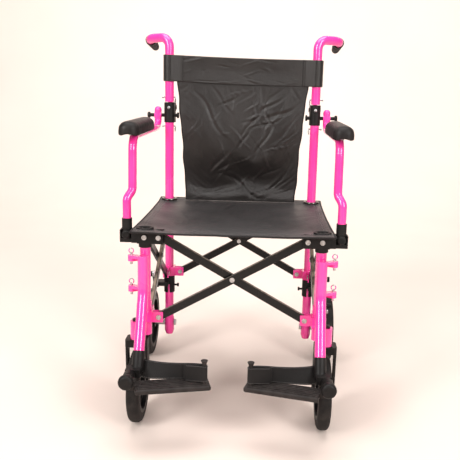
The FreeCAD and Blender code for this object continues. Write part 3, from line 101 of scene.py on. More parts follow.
class Finish:
    """A procedural material in the making. Patterns are in metres, in the frame's own axes."""

    def __init__(self, name, **surface):
        self.material = bpy.data.materials.new(name)
        self.material.use_nodes = True
        self.tree = self.material.node_tree
        self.surface = self.tree.nodes["Principled BSDF"]
        self.place = self.add("ShaderNodeTexCoord").outputs["Object"]
        self.normal = None
        self.set(surface)

    def set(self, inputs, node=None):
        for key, value in inputs.items():
            socket = (node or self.surface).inputs[key]
            if isinstance(value, bpy.types.NodeSocket):
                self.tree.links.new(value, socket)
            else:
                socket.default_value = value

    def add(self, kind, inputs=None, **settings):
        node = self.tree.nodes.new(kind)
        for key, value in settings.items():
            setattr(node, key, value)
        self.set(inputs or {}, node)
        return node

    def stretched(self, stretch, turn=(0, 0, 0)):
        inputs = {"Vector": self.place, "Scale": stretch, "Rotation": turn}
        return self.add("ShaderNodeMapping", inputs).outputs[0]

    def noise(self, scale, detail=3.0, stretch=(1, 1, 1)):
        inputs = {"Vector": self.stretched(stretch), "Scale": scale, "Detail": detail}
        return self.add("ShaderNodeTexNoise", inputs).outputs["Fac"]

    def threads(self, pitch, direction, turn=(0, 0, 0)):
        """Fine parallel ridges, one to each pitch."""
        where = self.stretched((1, 1, 1), turn)
        wave = self.add("ShaderNodeTexWave", {"Vector": where, "Scale": math.pi / (10 * pitch),
                                              "Distortion": 0.4, "Detail": 1.0, "Detail Scale": 2.0},
                        bands_direction=direction)
        return wave.outputs["Fac"]

    def spread(self, value, low, high, start=0.0, end=1.0):
        """Carries the run from low to high onto the run from start to end."""
        node = self.add("ShaderNodeMapRange", {"Value": value, "From Min": low, "From Max": high,
                                               "To Min": start, "To Max": end})
        return node.outputs["Result"]

    def sum(self, first, second, operation="ADD"):
        node = self.add("ShaderNodeMath", operation=operation)
        for socket, value in zip(node.inputs, (first, second)):
            if isinstance(value, bpy.types.NodeSocket):
                self.tree.links.new(value, socket)
            else:
                socket.default_value = value
        return node.outputs[0]

    def mixed(self, share, first, second):
        node = self.add("ShaderNodeMix", data_type="RGBA")
        colours = [socket for socket in node.inputs if socket.type == "RGBA"]
        for socket, value in zip([node.inputs[0]] + colours, (share, first, second)):
            if isinstance(value, bpy.types.NodeSocket):
                self.tree.links.new(value, socket)
            else:
                socket.default_value = value
        return [socket for socket in node.outputs if socket.type == "RGBA"][0]

    def bump(self, height, distance, strength=1.0):
        """Adds a relief of this height in metres on top of the relief so far."""
        inputs = {"Height": height, "Distance": distance, "Strength": strength}
        if self.normal:
            inputs["Normal"] = self.normal
        self.normal = self.add("ShaderNodeBump", inputs).outputs[0]

    def edges(self, radius):
        """Near 1 on sharp edges and 0 on flat faces."""
        soft = self.add("ShaderNodeBevel", {"Radius": radius}, samples=4).outputs[0]
        flat = self.add("ShaderNodeNewGeometry").outputs["Normal"]
        dot = self.add("ShaderNodeVectorMath", operation="DOT_PRODUCT")
        self.tree.links.new(soft, dot.inputs[0])
        self.tree.links.new(flat, dot.inputs[1])
        return self.spread(dot.outputs["Value"], 0.94, 0.78)

    def height_share(self, low, high):
        """0 at height low, 1 at height high."""
        parts = self.add("ShaderNodeSeparateXYZ", {"Vector": self.place})
        return self.spread(parts.outputs["Z"], low, high)

    def done(self, **surface):
        if self.normal:
            surface["Normal"] = self.normal
        self.set({key.replace("_", " "): value for key, value in surface.items()})
        return self.material


def pink_paint():
    """Glossy pink powder paint with faint orange peel, a little road dust low down and thin scratches."""
    paint = Finish("pink_paint")
    cloud = paint.noise(9, 3)
    base = paint.mixed(paint.spread(cloud, 0.35, 0.7), linear(250, 52, 152), linear(253, 66, 164))
    dust = paint.sum(paint.height_share(0.30, 0.05), paint.spread(paint.noise(60, 5), 0.5, 0.75), "MULTIPLY")
    base = paint.mixed(paint.sum(dust, 0.22, "MULTIPLY"), base, linear(190, 120, 140))
    scratch = paint.spread(paint.noise(420, 2, (1, 1, 0.03)), 0.66, 0.72)
    rough = paint.sum(paint.spread(cloud, 0.3, 0.7, 0.2, 0.3), paint.sum(scratch, 0.14, "MULTIPLY"))
    paint.bump(paint.noise(900, 2), 0.00006, 0.35)
    worn = paint.sum(paint.edges(0.0008), paint.spread(paint.noise(220, 4), 0.5, 0.6), "MULTIPLY")
    base = paint.mixed(paint.sum(worn, 0.5, "MULTIPLY"), base, linear(255, 170, 214))
    return paint.done(Base_Color=base, Roughness=rough, Coat_Weight=0.8, Coat_Roughness=0.07)


def black_paint():
    """Satin black paint on the scissor bars with a tan line along the edges that is partly rubbed-through
    wear and partly a painted highlight; faces that look up towards the front get a painted highlight as well.
    """
    paint = Finish("bar_black_paint")
    # Tan line along the edges: partly rubbed-through wear, partly painted highlight.
    wear_and_highlight = paint.sum(paint.edges(0.0012), paint.spread(paint.noise(80, 5), 0.42, 0.6), "MULTIPLY")
    base = paint.mixed(paint.spread(paint.noise(25, 4), 0.3, 0.8), linear(8, 7, 7), linear(15, 13, 12))
    # Painted highlight: faces that look up towards the front, where the light comes from, turn tan.
    lean = paint.add("ShaderNodeVectorMath", operation="DOT_PRODUCT")
    paint.tree.links.new(paint.add("ShaderNodeTexCoord").outputs["Normal"], lean.inputs[0])
    lean.inputs[1].default_value = (0, -0.71, 0.71)
    faces_toward_light = paint.spread(lean.outputs["Value"], 0.84, 0.95)
    lit_face_highlight = paint.sum(faces_toward_light, paint.spread(paint.noise(30, 4), 0.3, 0.5), "MULTIPLY")
    wear_and_highlight = paint.sum(wear_and_highlight, lit_face_highlight, "MAXIMUM")
    base = paint.mixed(paint.sum(wear_and_highlight, 0.7, "MULTIPLY"), base, linear(178, 158, 140))
    paint.bump(paint.noise(1400, 3), 0.00008, 0.5)
    return paint.done(Base_Color=base, Roughness=paint.spread(paint.noise(70, 4), 0.3, 0.7, 0.24, 0.4),
                      Specular_IOR_Level=0.35)


def moulded(name, dark, light, rough=(0.38, 0.6), grain=1300, wear_and_highlight=0.5):
    """Moulded plastic with a spark-eroded grain, flow clouds and paler edges that are partly rubbed wear and
    partly a painted edge highlight.
    """
    plastic = Finish(name)
    base = plastic.mixed(plastic.spread(plastic.noise(45, 4), 0.3, 0.75), dark, light)
    # Paler edges: partly rubbed wear, partly painted edge highlight.
    rubbed_and_lit_edges = plastic.sum(plastic.edges(0.001), plastic.spread(plastic.noise(160, 4), 0.38, 0.62), "MULTIPLY")
    pale = tuple(0.3 + 0.6 * channel for channel in light[:3]) + (1,)
    base = plastic.mixed(plastic.sum(rubbed_and_lit_edges, wear_and_highlight * 0.5, "MULTIPLY"), base, pale)
    plastic.bump(plastic.noise(grain, 2), 0.00012, 0.6)
    return plastic.done(Base_Color=base, Roughness=plastic.spread(plastic.noise(90, 4), 0.3, 0.7, *rough),
                        Specular_IOR_Level=0.22)


def bright_steel():
    """Zinc-plated steel with fine turning marks and dull spots."""
    steel = Finish("bright_steel", Metallic=1.0)
    clouds = steel.spread(steel.noise(140, 4), 0.35, 0.7)
    base = steel.mixed(clouds, linear(206, 206, 208), linear(160, 158, 156))
    steel.bump(steel.noise(900, 2, (0.1, 1, 1)), 0.00005, 0.5)
    return steel.done(Base_Color=base, Roughness=steel.spread(steel.noise(300, 3), 0.3, 0.7, 0.18, 0.42))


def tyre_rubber():
    """Grey-black tyre rubber, browner where it has met the floor."""
    rubber = Finish("tyre_rubber")
    dust = rubber.spread(rubber.noise(55, 6), 0.35, 0.7)
    base = rubber.mixed(dust, linear(20, 18, 18), linear(46, 42, 40))
    rubber.bump(rubber.noise(700, 4), 0.0002, 0.6)
    rough = rubber.spread(dust, 0, 1, 0.6, 0.85)
    return rubber.done(Base_Color=base, Roughness=rough, Specular_IOR_Level=0.2)


def nylon(name, dark, light, shine=0.42):
    """Coated nylon cloth: crossed threads, a soft sheen and faint rub marks."""
    cloth = Finish(name)
    warp = cloth.threads(0.0011, "X", (0, 0, 0.02))
    weft = cloth.add("ShaderNodeTexWave", {"Vector": cloth.place, "Scale": math.pi / (10 * 0.0011),
                                           "Distortion": 0.4}, bands_direction="DIAGONAL").outputs["Fac"]
    weave = cloth.sum(warp, weft, "MULTIPLY")
    rub = cloth.spread(cloth.noise(16, 6, (1, 1, 0.5)), 0.35, 0.7)
    base = cloth.mixed(cloth.spread(weave, 0, 1, 0.15, 0.85), dark, light)
    base = cloth.mixed(cloth.sum(rub, 0.35, "MULTIPLY"), base, light)
    cloth.bump(cloth.noise(75, 6, (1, 1, 0.6)), 0.0012, 0.35)
    cloth.bump(weave, 0.00022, 0.55)
    return cloth.done(Base_Color=base, Roughness=cloth.spread(rub, 0, 1, shine, shine + 0.16),
                      Sheen_Weight=0.08, Sheen_Roughness=0.4, Specular_IOR_Level=0.4)


def webbing():
    """Ribbed woven tape."""
    tape = Finish("webbing_tape")
    ribs = tape.threads(0.0022, "DIAGONAL")
    base = tape.mixed(ribs, linear(11, 9, 9), linear(27, 23, 22))
    tape.bump(ribs, 0.0005, 0.7)
    tape.bump(tape.noise(500, 3), 0.0002, 0.4)
    return tape.done(Base_Color=base, Roughness=0.6, Sheen_Weight=0.05, Specular_IOR_Level=0.25)


def thread():
    line = Finish("sewing_thread")
    twist = line.threads(0.0009, "DIAGONAL")
    line.bump(twist, 0.0002, 0.6)
    return line.done(Base_Color=line.mixed(twist, linear(24, 21, 21), linear(86, 78, 75)), Roughness=0.55,
                     Sheen_Weight=0.4)


PINK = pink_paint()
BAR_BLACK = black_paint()
STEEL = bright_steel()
PLASTIC = moulded("black_moulding", linear(14, 12, 12), linear(30, 27, 26), wear_and_highlight=0.25)
RIM = moulded("rim_moulding", linear(14, 13, 13), linear(30, 28, 28), (0.35, 0.55), wear_and_highlight=0.2)
TREAD = moulded("tread_moulding", linear(30, 26, 25), linear(54, 48, 46), (0.5, 0.72), 900, 0.4)
PAD = moulded("pad_skin", linear(22, 19, 19), linear(38, 34, 33), (0.4, 0.55), 650, 0.1)
GRIP = moulded("grip_rubber", linear(20, 18, 18), linear(36, 33, 32), (0.45, 0.65), 800, 0.15)
TYRE = tyre_rubber()
CLOTH = nylon("nylon_cloth", linear(24, 21, 20), linear(46, 41, 39), 0.3)
SEAT_CLOTH = nylon("nylon_seat_cloth", linear(20, 17, 17), linear(38, 33, 32), 0.42)
TAPE = webbing()
THREAD = thread()


# ---- carried-over nodes ----------------------------------------------------------------------------

def islands(mesh):
    """For each polygon, the number of the connected solid it belongs to, joining equal vertices."""
    keys = {}
    link = []
    for vertex in mesh.vertices:
        key = tuple(round(c, 7) for c in vertex.co)
        link.append(keys.setdefault(key, len(keys)))
    parent = list(range(len(keys)))

    def root(i):
        while parent[i] != i:
            parent[i] = parent[parent[i]]
            i = parent[i]
        return i

    for polygon in mesh.polygons:
        first = root(link[polygon.vertices[0]])
        for other in polygon.vertices[1:]:
            parent[root(link[other])] = first
    return [root(link[polygon.vertices[0]]) for polygon in mesh.polygons]


def dress(node, *materials, rule=None):
    """Gives a node its finish. rule(centre, normal, small) picks the material's number for each polygon."""
    mesh = frame["nodes"][node].data
    mesh.materials.clear()
    for material in materials:
        mesh.materials.append(material)
    if rule is None:
        for polygon in mesh.polygons:
            polygon.material_index = 0
        return
    owner = islands(mesh)
    largest = largest_island(mesh, owner)
    for polygon, number in zip(mesh.polygons, owner):
        polygon.material_index = rule(polygon.center, polygon.normal, number != largest)


def largest_island(mesh, owner):
    """The number of the connected solid with the longest box diagonal."""
    places = {}
    for polygon, number in zip(mesh.polygons, owner):
        places.setdefault(number, []).append(polygon.center)
    diagonals = {number: (Vector(map(max, *spots)) - Vector(map(min, *spots))).length if len(spots) > 1 else 0
                 for number, spots in places.items()}
    return max(diagonals, key=diagonals.get)


def steel_pins(node, joints, radius=6.4 * MM):
    """Gives a node's pins and their heads the steel finish: all that lies close to the joints' axes."""
    mesh = frame["nodes"][node].data
    mesh.materials.append(STEEL)
    number = len(mesh.materials) - 1
    for name in joints:
        axis, spot = Vector(JOINTS[name]["axis"]), pivot(name)
        for polygon in mesh.polygons:
            offsets = [mesh.vertices[i].co - spot for i in polygon.vertices]
            if all((offset - axis * offset.dot(axis)).length < radius for offset in offsets):
                polygon.material_index = number


def loose_is_steel(centre, normal, small):
    """Loose solids of a node are its pins and rings."""
    return 1 if small else 0


def hanger_fittings(axis):
    """A rule that picks a hanger's swing pins, and the loop rings that stand out square to them."""
    pin, half_wire, ring_reach, lug = 3.4 * MM, 1.6 * MM, 9.5 * MM, 8.4 * MM

    def rule(centre, normal, small):
        out = (centre - axis).xy.length
        beside = abs(centre.y - axis.y) < half_wire and abs(centre.x - axis.x) < ring_reach
        return 1 if out < pin or (beside and abs(normal.z) < 0.995 and out > lug) else 0

    return rule


def dress_frame():
    """Finishes of all nodes that are shown as they are."""
    for bar in ("rear", "front", "left", "right"):
        dress(bar + "_bar_a", BAR_BLACK, STEEL, rule=loose_is_steel)
        dress(bar + "_bar_b", BAR_BLACK)
    for end, (side, _) in SIDES.items():
        for node in ("rear_post", "rear_link_bracket", "armrest_tube"):
            dress("%s_%s" % (node, end), PINK)
        for node in ("front_post", "back_tube"):
            dress("%s_%s" % (node, end), PINK, STEEL, rule=loose_is_steel)
        for node in ("rear_sleeve", "rear_seat_bracket", "arm_foot", "foot_sleeve", "plate_pivot", "arm_rod"):
            dress("%s_%s" % (node, end), PLASTIC)
        low_pivot = {"left": "frame_fold", "right": "rear_right_foot"}[side]
        steel_pins("rear_link_bracket_" + end, (low_pivot, side + "_side_low"))
        steel_pins("front_post_" + end, ("front_%s_low" % side, side + "_side_foot"))
        steel_pins("rear_sleeve_" + end, ("brake_" + side,))
        front_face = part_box("front_seat_bracket_" + end)[0].y + 2.1 * MM
        dress("front_seat_bracket_" + end, PLASTIC, STEEL,
              rule=lambda centre, normal, small, face=front_face: 1 if centre.y < face else 0)
        dress("hinge_block_" + end, PLASTIC, STEEL, rule=loose_is_steel)
        dress("hanger_" + end, PINK, STEEL, rule=hanger_fittings(pivot("hanger_swing_" + side)))
        axle = pivot("caster_wheel_spin_" + side)
        dress("caster_fork_" + end, PLASTIC, STEEL,
              rule=lambda centre, normal, small, axle=axle: 1 if (centre - axle).yz.length < 9 * MM else 0)
        dress("rear_axle_" + end, STEEL)
        dress("brake_lever_" + end, STEEL, PLASTIC, rule=lambda centre, normal, small, side=side:
              1 if abs(centre.x - pivot("brake_" + side).x) > 4 * MM else 0)
        dress("footplate_" + end, TREAD)
        for place in ("rear", "caster"):
            dress("%s_rim_%s" % (place, end), RIM)
            dress("%s_tyre_%s" % (place, end), TYRE)


# ---- mesh building ---------------------------------------------------------------------------------

def piece(name, vertices, faces, materials, numbers=None, smooth=True):
    """A mesh object from plain lists."""
    mesh = bpy.data.meshes.new(name)
    mesh.from_pydata([tuple(v) for v in vertices], [], faces)
    for material in materials:
        mesh.materials.append(material)
    for i, polygon in enumerate(mesh.polygons):
        polygon.use_smooth = smooth
        if numbers:
            polygon.material_index = numbers[i]
    made = bpy.data.objects.new(name, mesh)
    bpy.context.scene.collection.objects.link(made)
    return made


def frozen(made):
    """Applies the modifiers."""
    graph = bpy.context.evaluated_depsgraph_get()
    mesh = bpy.data.meshes.new_from_object(made.evaluated_get(graph), depsgraph=graph)
    made.modifiers.clear()
    made.data = mesh
    return made


def subdivided(made, levels):
    modifier = made.modifiers.new("smooth", "SUBSURF")
    modifier.levels = modifier.render_levels = levels
    return frozen(made)


def smoothed(made):
    for polygon in made.data.polygons:
        polygon.use_smooth = True
    return made


def loft(sections, closed_ends=True):
    """Vertices and faces of a skin over closed sections that all have the same number of points."""
    count = len(sections[0])
    vertices = [point for section in sections for point in section]
    faces = []
    for i in range(len(sections) - 1):
        here, there = i * count, (i + 1) * count
        for j in range(count):
            beside = (j + 1) % count
            faces.append((here + j, here + beside, there + beside, there + j))
    if closed_ends:
        for start, flip in ((0, True), ((len(sections) - 1) * count, False)):
            centre = sum((Vector(vertices[start + j]) for j in range(count)), Vector()) / count
            vertices.append(centre)
            hub = len(vertices) - 1
            for j in range(count):
                pair = (start + j, start + (j + 1) % count)
                faces.append((pair[1], pair[0], hub) if flip else (pair[0], pair[1], hub))
    return vertices, faces


def square_to(direction):
    """Two unit vectors square to a direction."""
    direction = direction.normalized()
    helper = Vector((0, 0, 1)) if abs(direction.z) < 0.9 else Vector((1, 0, 0))
    first = direction.cross(helper).normalized()
    return first, direction.cross(first)


def turned(start, direction, profile, steps=48):
    """A solid of revolution; profile is a run of (distance along, radius)."""
    first, second = square_to(direction)
    sections = []
    for along, radius in profile:
        centre = start + direction * along
        turns = [2 * math.pi * i / steps for i in range(steps)]
        sections.append([centre + (first * math.cos(turn) + second * math.sin(turn)) * radius
                         for turn in turns])
    return loft(sections)


def wire(points, radius, steps=8, closed=False):
    """A thin round wire along points."""
    points = [Vector(p) for p in points]
    count = len(points)
    sections = []
    up = None
    for i, point in enumerate(points):
        before = points[i - 1] if i or closed else point
        after = points[(i + 1) % count] if i + 1 < count or closed else point
        tangent = (after - before).normalized()
        if up is None:
            up = square_to(tangent)[0]
        up = (up - tangent * up.dot(tangent)).normalized()
        side = tangent.cross(up)
        turns = [2 * math.pi * j / steps for j in range(steps)]
        sections.append([point + (up * math.cos(turn) + side * math.sin(turn)) * radius for turn in turns])
    if closed:
        sections.append(sections[0])
    return loft(sections, closed_ends=not closed)


class Build:
    """Several shapes gathered into one piece, each with its own material."""

    def __init__(self):
        self.vertices, self.faces, self.numbers = [], [], []

    def add(self, shape, number=0):
        vertices, faces = shape
        start = len(self.vertices)
        self.vertices += [tuple(v) for v in vertices]
        self.faces += [tuple(start + i for i in face) for face in faces]
        self.numbers += [number] * len(faces)

    def made(self, name, *materials):
        built = piece(name, self.vertices, self.faces, materials, self.numbers)
        mesh = built.data
        work = bmesh.new()
        work.from_mesh(mesh)
        bmesh.ops.remove_doubles(work, verts=work.verts, dist=1e-6)
        bmesh.ops.recalc_face_normals(work, faces=work.faces)
        work.to_mesh(mesh)
        work.free()
        return built


def follow(made, body, share):
    """Lets the points of a piece follow another body by a share of its motion."""
    group = made.vertex_groups.new(name="follow_" + body)
    for vertex in made.data.vertices:
        weight = share(vertex.co)
        if weight > 0:
            group.add([vertex.index], min(1.0, weight), "REPLACE")
    hook = made.modifiers.new("follow_" + body, "HOOK")
    hook.object = frame["bodies"][body]
    hook.vertex_group = group.name
    return made


# ---- cloth -----------------------------------------------------------------------------------------

def smooth_step(x):
    x = min(1.0, max(0.0, x))
    return x * x * (3 - 2 * x)


def creases(seed, count, angles, lengths, widths, depths):
    """Random straight creases on the unit square: (centre, direction, half length, width, depth)."""
    dice = random.Random(seed)
    made = []
    for _ in range(count):
        angle = math.radians(dice.uniform(*angles)) * dice.choice((-1, 1))
        spot = (dice.uniform(-0.95, 0.95), dice.uniform(0.03, 0.97))
        size = (dice.uniform(*lengths), dice.uniform(*widths))
        depth = dice.uniform(*depths) * dice.choice((-1, 1))
        made.append((*spot, math.cos(angle), math.sin(angle), *size, depth))
    return made


def crease_height(marks, s, t):
    """The sum of all creases at a place; s runs from -1 to 1 and t from 0 to 1."""
    total = 0.0
    for centre_s, centre_t, along_s, along_t, half, width, depth in marks:
        ds, dt = s - centre_s, (t - centre_t) * 1.8
        along = ds * along_s + dt * along_t
        across = -ds * along_t + dt * along_s + 0.05 * math.sin(7 * along)
        if abs(along) > half or abs(across) > 3 * width:
            continue
        fade = math.cos(math.pi * along / (2 * half)) ** 2
        lit_face_highlight = math.exp(-(across / width) ** 2) - 0.6 * math.exp(-((across - 1.3 * width) / width) ** 2)
        total += depth * fade * lit_face_highlight
    return total


class Sheet:
    """A grid of points with s from -1 to 1 across and t from 0 to 1 along."""

    def __init__(self, columns, rows, place):
        self.columns, self.rows = columns, rows
        self.points = np.array([[tuple(place(-1 + 2 * i / columns, j / rows)) for i in range(columns + 1)]
                                for j in range(rows + 1)])

    def at(self, s, t):
        x = min(max((s + 1) / 2 * self.columns, 0), self.columns - 1e-6)
        y = min(max(t * self.rows, 0), self.rows - 1e-6)
        i, j = int(x), int(y)
        a, b = x - i, y - j
        grid = self.points
        spot = ((grid[j][i] * (1 - a) + grid[j][i + 1] * a) * (1 - b)
                + (grid[j + 1][i] * (1 - a) + grid[j + 1][i + 1] * a) * b)
        return Vector(spot)

    def normal(self, s, t):
        step = 0.01
        across = self.at(min(1, s + step), t) - self.at(max(-1, s - step), t)
        along = self.at(s, min(1, t + step)) - self.at(s, max(0, t - step))
        return across.cross(along).normalized()

    def faces(self, keep=None):
        width = self.columns + 1
        found = []
        for j in range(self.rows):
            for i in range(self.columns):
                corners = (j * width + i, j * width + i + 1, (j + 1) * width + i + 1, (j + 1) * width + i)
                if keep is None or keep(sum((self.points.reshape(-1, 3)[c] for c in corners)) / 4):
                    found.append(corners)
        return found

    def relax(self, pinned, frames, gravity=1.0, looser=0.0):
        """Lets the cloth hang under its own weight; pinned(s, t) is the share of hold from 0 to 1."""
        made = piece("draping", self.points.reshape(-1, 3), self.faces(), [])
        group = made.vertex_groups.new(name="pinned")
        width = self.columns + 1
        for index in range(len(made.data.vertices)):
            hold = pinned(-1 + 2 * (index % width) / self.columns, (index // width) / self.rows)
            if hold > 0:
                group.add([index], hold, "REPLACE")
        cloth = made.modifiers.new("cloth", "CLOTH")
        settings = cloth.settings
        settings.quality = 6
        settings.mass = 0.25
        settings.tension_stiffness = settings.compression_stiffness = 25
        settings.shear_stiffness = 12
        settings.bending_stiffness = 0.6
        settings.air_damping = 4
        settings.vertex_group_mass = group.name
        settings.pin_stiffness = 1.0
        settings.shrink_min = -looser
        settings.effector_weights.gravity = gravity
        cloth.collision_settings.use_collision = False
        cloth.point_cache.frame_end = frames
        scene = bpy.context.scene
        for number in range(1, frames + 1):
            scene.frame_set(number)
        graph = bpy.context.evaluated_depsgraph_get()
        result = made.evaluated_get(graph).to_mesh()
        coordinates = np.zeros(len(result.vertices) * 3)
        result.vertices.foreach_get("co", coordinates)
        self.points = coordinates.reshape(self.points.shape)
        bpy.data.objects.remove(made)
        scene.frame_set(1)

    def thick(self, name, thickness, material, keep=None, levels=1):
        """A closed cloth of this thickness over the grid."""
        made = piece(name, self.points.reshape(-1, 3), self.faces(keep), [material])
        work = bmesh.new()
        work.from_mesh(made.data)
        loose = [vertex for vertex in work.verts if not vertex.link_faces]
        bmesh.ops.delete(work, geom=loose, context="VERTS")
        work.to_mesh(made.data)
        work.free()
        solid = made.modifiers.new("thickness", "SOLIDIFY")
        solid.thickness = thickness
        solid.offset = 0
        if levels:
            modifier = made.modifiers.new("smooth", "SUBSURF")
            modifier.levels = modifier.render_levels = levels
        return smoothed(frozen(made))


def stitches(sheet, line, lift, length=0.0032, pitch=0.0046, radius=0.00045):
    """A row of short raised stitches along line(share), which gives (s, t) on a sheet."""
    steps = 240
    spots = [sheet.at(*line(i / steps)) + sheet.normal(*line(i / steps)) * lift for i in range(steps + 1)]
    lengths = [0.0]
    for first, second in zip(spots, spots[1:]):
        lengths.append(lengths[-1] + (second - first).length)
    row = Build()
    start = pitch / 2
    index = 0
    while start + length < lengths[-1]:
        ends = []
        for reach in (start, start + length / 2, start + length):
            while lengths[index + 1] < reach:
                index += 1
            share = (reach - lengths[index]) / max(lengths[index + 1] - lengths[index], 1e-9)
            ends.append(spots[index].lerp(spots[index + 1], share))
        row.add(wire(ends, radius, 5))
        start += pitch
    return row.vertices, row.faces


def joined(made, *others):
    """Adds the meshes of others to a piece, keeping their materials."""
    for other in others:
        offset = len(made.data.materials)
        for material in other.data.materials:
            made.data.materials.append(material)
        for polygon in other.data.polygons:
            polygon.material_index += offset
    work = bmesh.new()
    work.from_mesh(made.data)
    for other in others:
        work.from_mesh(other.data)
        bpy.data.objects.remove(other)
    work.to_mesh(made.data)
    work.free()
    return made


def edge_tape(name, sheet, lines, radius):
    """Binding tape folded over the edges of a sheet."""
    tape = Build()
    for line in lines:
        steps = 90
        tape.add(wire([sheet.at(*line(i / steps)) for i in range(steps + 1)], radius, 8))
    return tape.made(name, TAPE)


# ---- seat ------------------------------------------------------------------------------------------

def seat_cloth():
    """The sling seat: hung from four corners, sagging in the middle, with wrinkles and grommet holes."""
    low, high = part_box("seat_sling")
    level = (low.z + high.z) / 2
    marks = creases(11, 26, (55, 88), (0.25, 0.7), (0.012, 0.03), (0.5 * MM, 1.5 * MM))

    def place(s, t):
        x = s * high.x
        y = low.y + (high.y - low.y) * t
        inner = (1 - s * s) ** 1.2
        sag = MM * inner * (1 + 1.5 * (1 - t) + 6 * (1 - (2 * t - 1) ** 2))
        sag -= 3 * MM * smooth_step((t - 0.88) / 0.12)
        pull = 1.6 * MM * math.sin(9 * s) * math.sin(3.1 * t + s) * inner * smooth_step((1 - t) * 8)
        pull += 1.3 * MM * math.sin(31 * s + 1.4 * math.sin(5 * t)) * inner * (1 - t) * smooth_step(t * 6)
        edge_in = 4 * MM * (1 - (2 * t - 1) ** 2) * abs(s) ** 6 * math.copysign(1, s)
        return x - edge_in, y, level - sag + pull + crease_height(marks, s, t) * inner ** 0.4

    sheet = Sheet(84, 80, place)
    sheet.relax(lambda s, t: 1.0 if (abs(s) > 0.82 and abs(2 * t - 1) > 0.8) or abs(s) > 0.985
                or abs(2 * t - 1) > 0.94 else 0.0, 8, 0.1, 0.002)
    return sheet


def build_seat():
    sheet = seat_cloth()
    low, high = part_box("seat_sling")
    holes = grommet_places()

    def keep(spot):
        return all((Vector(spot).xy - hole.xy).length > radius + 2 * MM for hole, radius in holes)

    made = sheet.thick("seat_cloth", 2.2 * MM, SEAT_CLOTH, keep, 0)
    inset = 0.055
    extra = Build()
    for offset in (inset, inset + 0.03):
        for sign in (-1, 1):
            edge = sign * (1 - offset)
            extra.add(stitches(sheet, lambda share, s=edge: (s, 0.02 + 0.96 * share), 1.3 * MM))
        for level in (offset, 1 - offset):
            extra.add(stitches(sheet, lambda share, t=level: (-0.96 + 1.92 * share, t), 1.3 * MM))
    sewing = extra.made("seat_sewing", THREAD)
    lines = [lambda share: (-1, share), lambda share: (1, share), lambda share: (-1 + 2 * share, 0),
             lambda share: (-1 + 2 * share, 1)]
    tape = edge_tape("seat_tape", sheet, lines, 2.3 * MM)
    joined(made, sewing, tape)
    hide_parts("seat_sling")
    span = high - low
    pleats = 3

    def across(spot):
        return (spot.x - low.x) / span.x

    def along(spot):
        return 1 - (spot.y - low.y) / span.y

    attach(made, "rear_left_seat")
    follow(made, "rear_right_seat", across)
    follow(made, "front_left_seat", along)
    follow(made, "rear_left_leg", lambda spot: 0.42 * math.sin(pleats * math.pi * across(spot)) ** 2
           * math.sin(math.pi * min(1, max(0, (across(spot) - 0.04) / 0.92)))
           * math.sin(math.pi * min(1, max(0, along(spot)))) ** 0.4)


def grommet_places():
    """Centres and hole radii of the eyelets: rear pair round the posts, front pair over the brackets."""
    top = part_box("seat_sling")[1].z
    rear_hole, front_hole = 16.5 * MM, 11 * MM
    front_inset = 17 * MM
    found = []
    for end in SIDES:
        rear = middle("rear_post_" + end)
        front_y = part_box("front_seat_bracket_" + end)[0].y + front_inset
        found.append((Vector((rear.x, rear.y, top + 3.4 * MM)), rear_hole))
        found.append((Vector((rear.x, front_y, top + 0.5 * MM)), front_hole))
    return found


def eyelet(name, centre, hole, stretch, material, body):
    """A pressed ring with a rolled lip on both faces of the cloth."""
    profile = [(-4.0, 1.5), (-4.3, 3.5), (-3.8, 6.0), (-2.6, 7.2), (-1.6, 7.2), (0.6, 7.2), (1.6, 6.6),
               (2.0, 4.4), (1.7, 1.8), (0.6, 0.2), (-2.0, 0.0), (-3.6, 0.3)]
    steps = 56
    rings = []
    for i in range(steps + 1):
        angle = 2 * math.pi * i / steps
        out = Vector((math.cos(angle) * stretch, math.sin(angle), 0))
        rings.append([centre + out * (hole + reach * MM) + Vector((0, 0, rise * MM))
                      for rise, reach in profile])
    ring = Build()
    ring.add(loft(rings, closed_ends=False))
    made = ring.made(name, material)
    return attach(made, body)


def dark_steel():
    metal = Finish("gunmetal_eyelet", Metallic=1.0)
    clouds = metal.spread(metal.noise(200, 4), 0.35, 0.7)
    base = metal.mixed(clouds, linear(120, 114, 110), linear(70, 66, 64))
    metal.bump(metal.noise(800, 2), 0.00006, 0.5)
    return metal.done(Base_Color=base, Roughness=metal.spread(metal.noise(260, 3), 0.3, 0.7, 0.18, 0.4))


STEEL_DARK = dark_steel()


def build_eyelets():
    rear_l, front_l, rear_r, front_r = grommet_places()
    for (place, hole), name, side in ((rear_l, "rear_l", "left"), (rear_r, "rear_r", "right")):
        eyelet("seat_eyelet_" + name, place, hole - 1.2 * MM, 1.0, STEEL_DARK, "rear_%s_seat" % side)
    for (place, hole), name, side in ((front_l, "front_l", "left"), (front_r, "front_r", "right")):
        eyelet("seat_eyelet_" + name, place, hole, 1.15, PLASTIC, "front_%s_seat" % side)


# ---- back ------------------------------------------------------------------------------------------

def band_span():
    """The band's lowest and highest level and the place of the left tube's axis."""
    height = 73 * MM
    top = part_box("back_sling")[1].z
    return top - height, top, middle("rear_post_l")


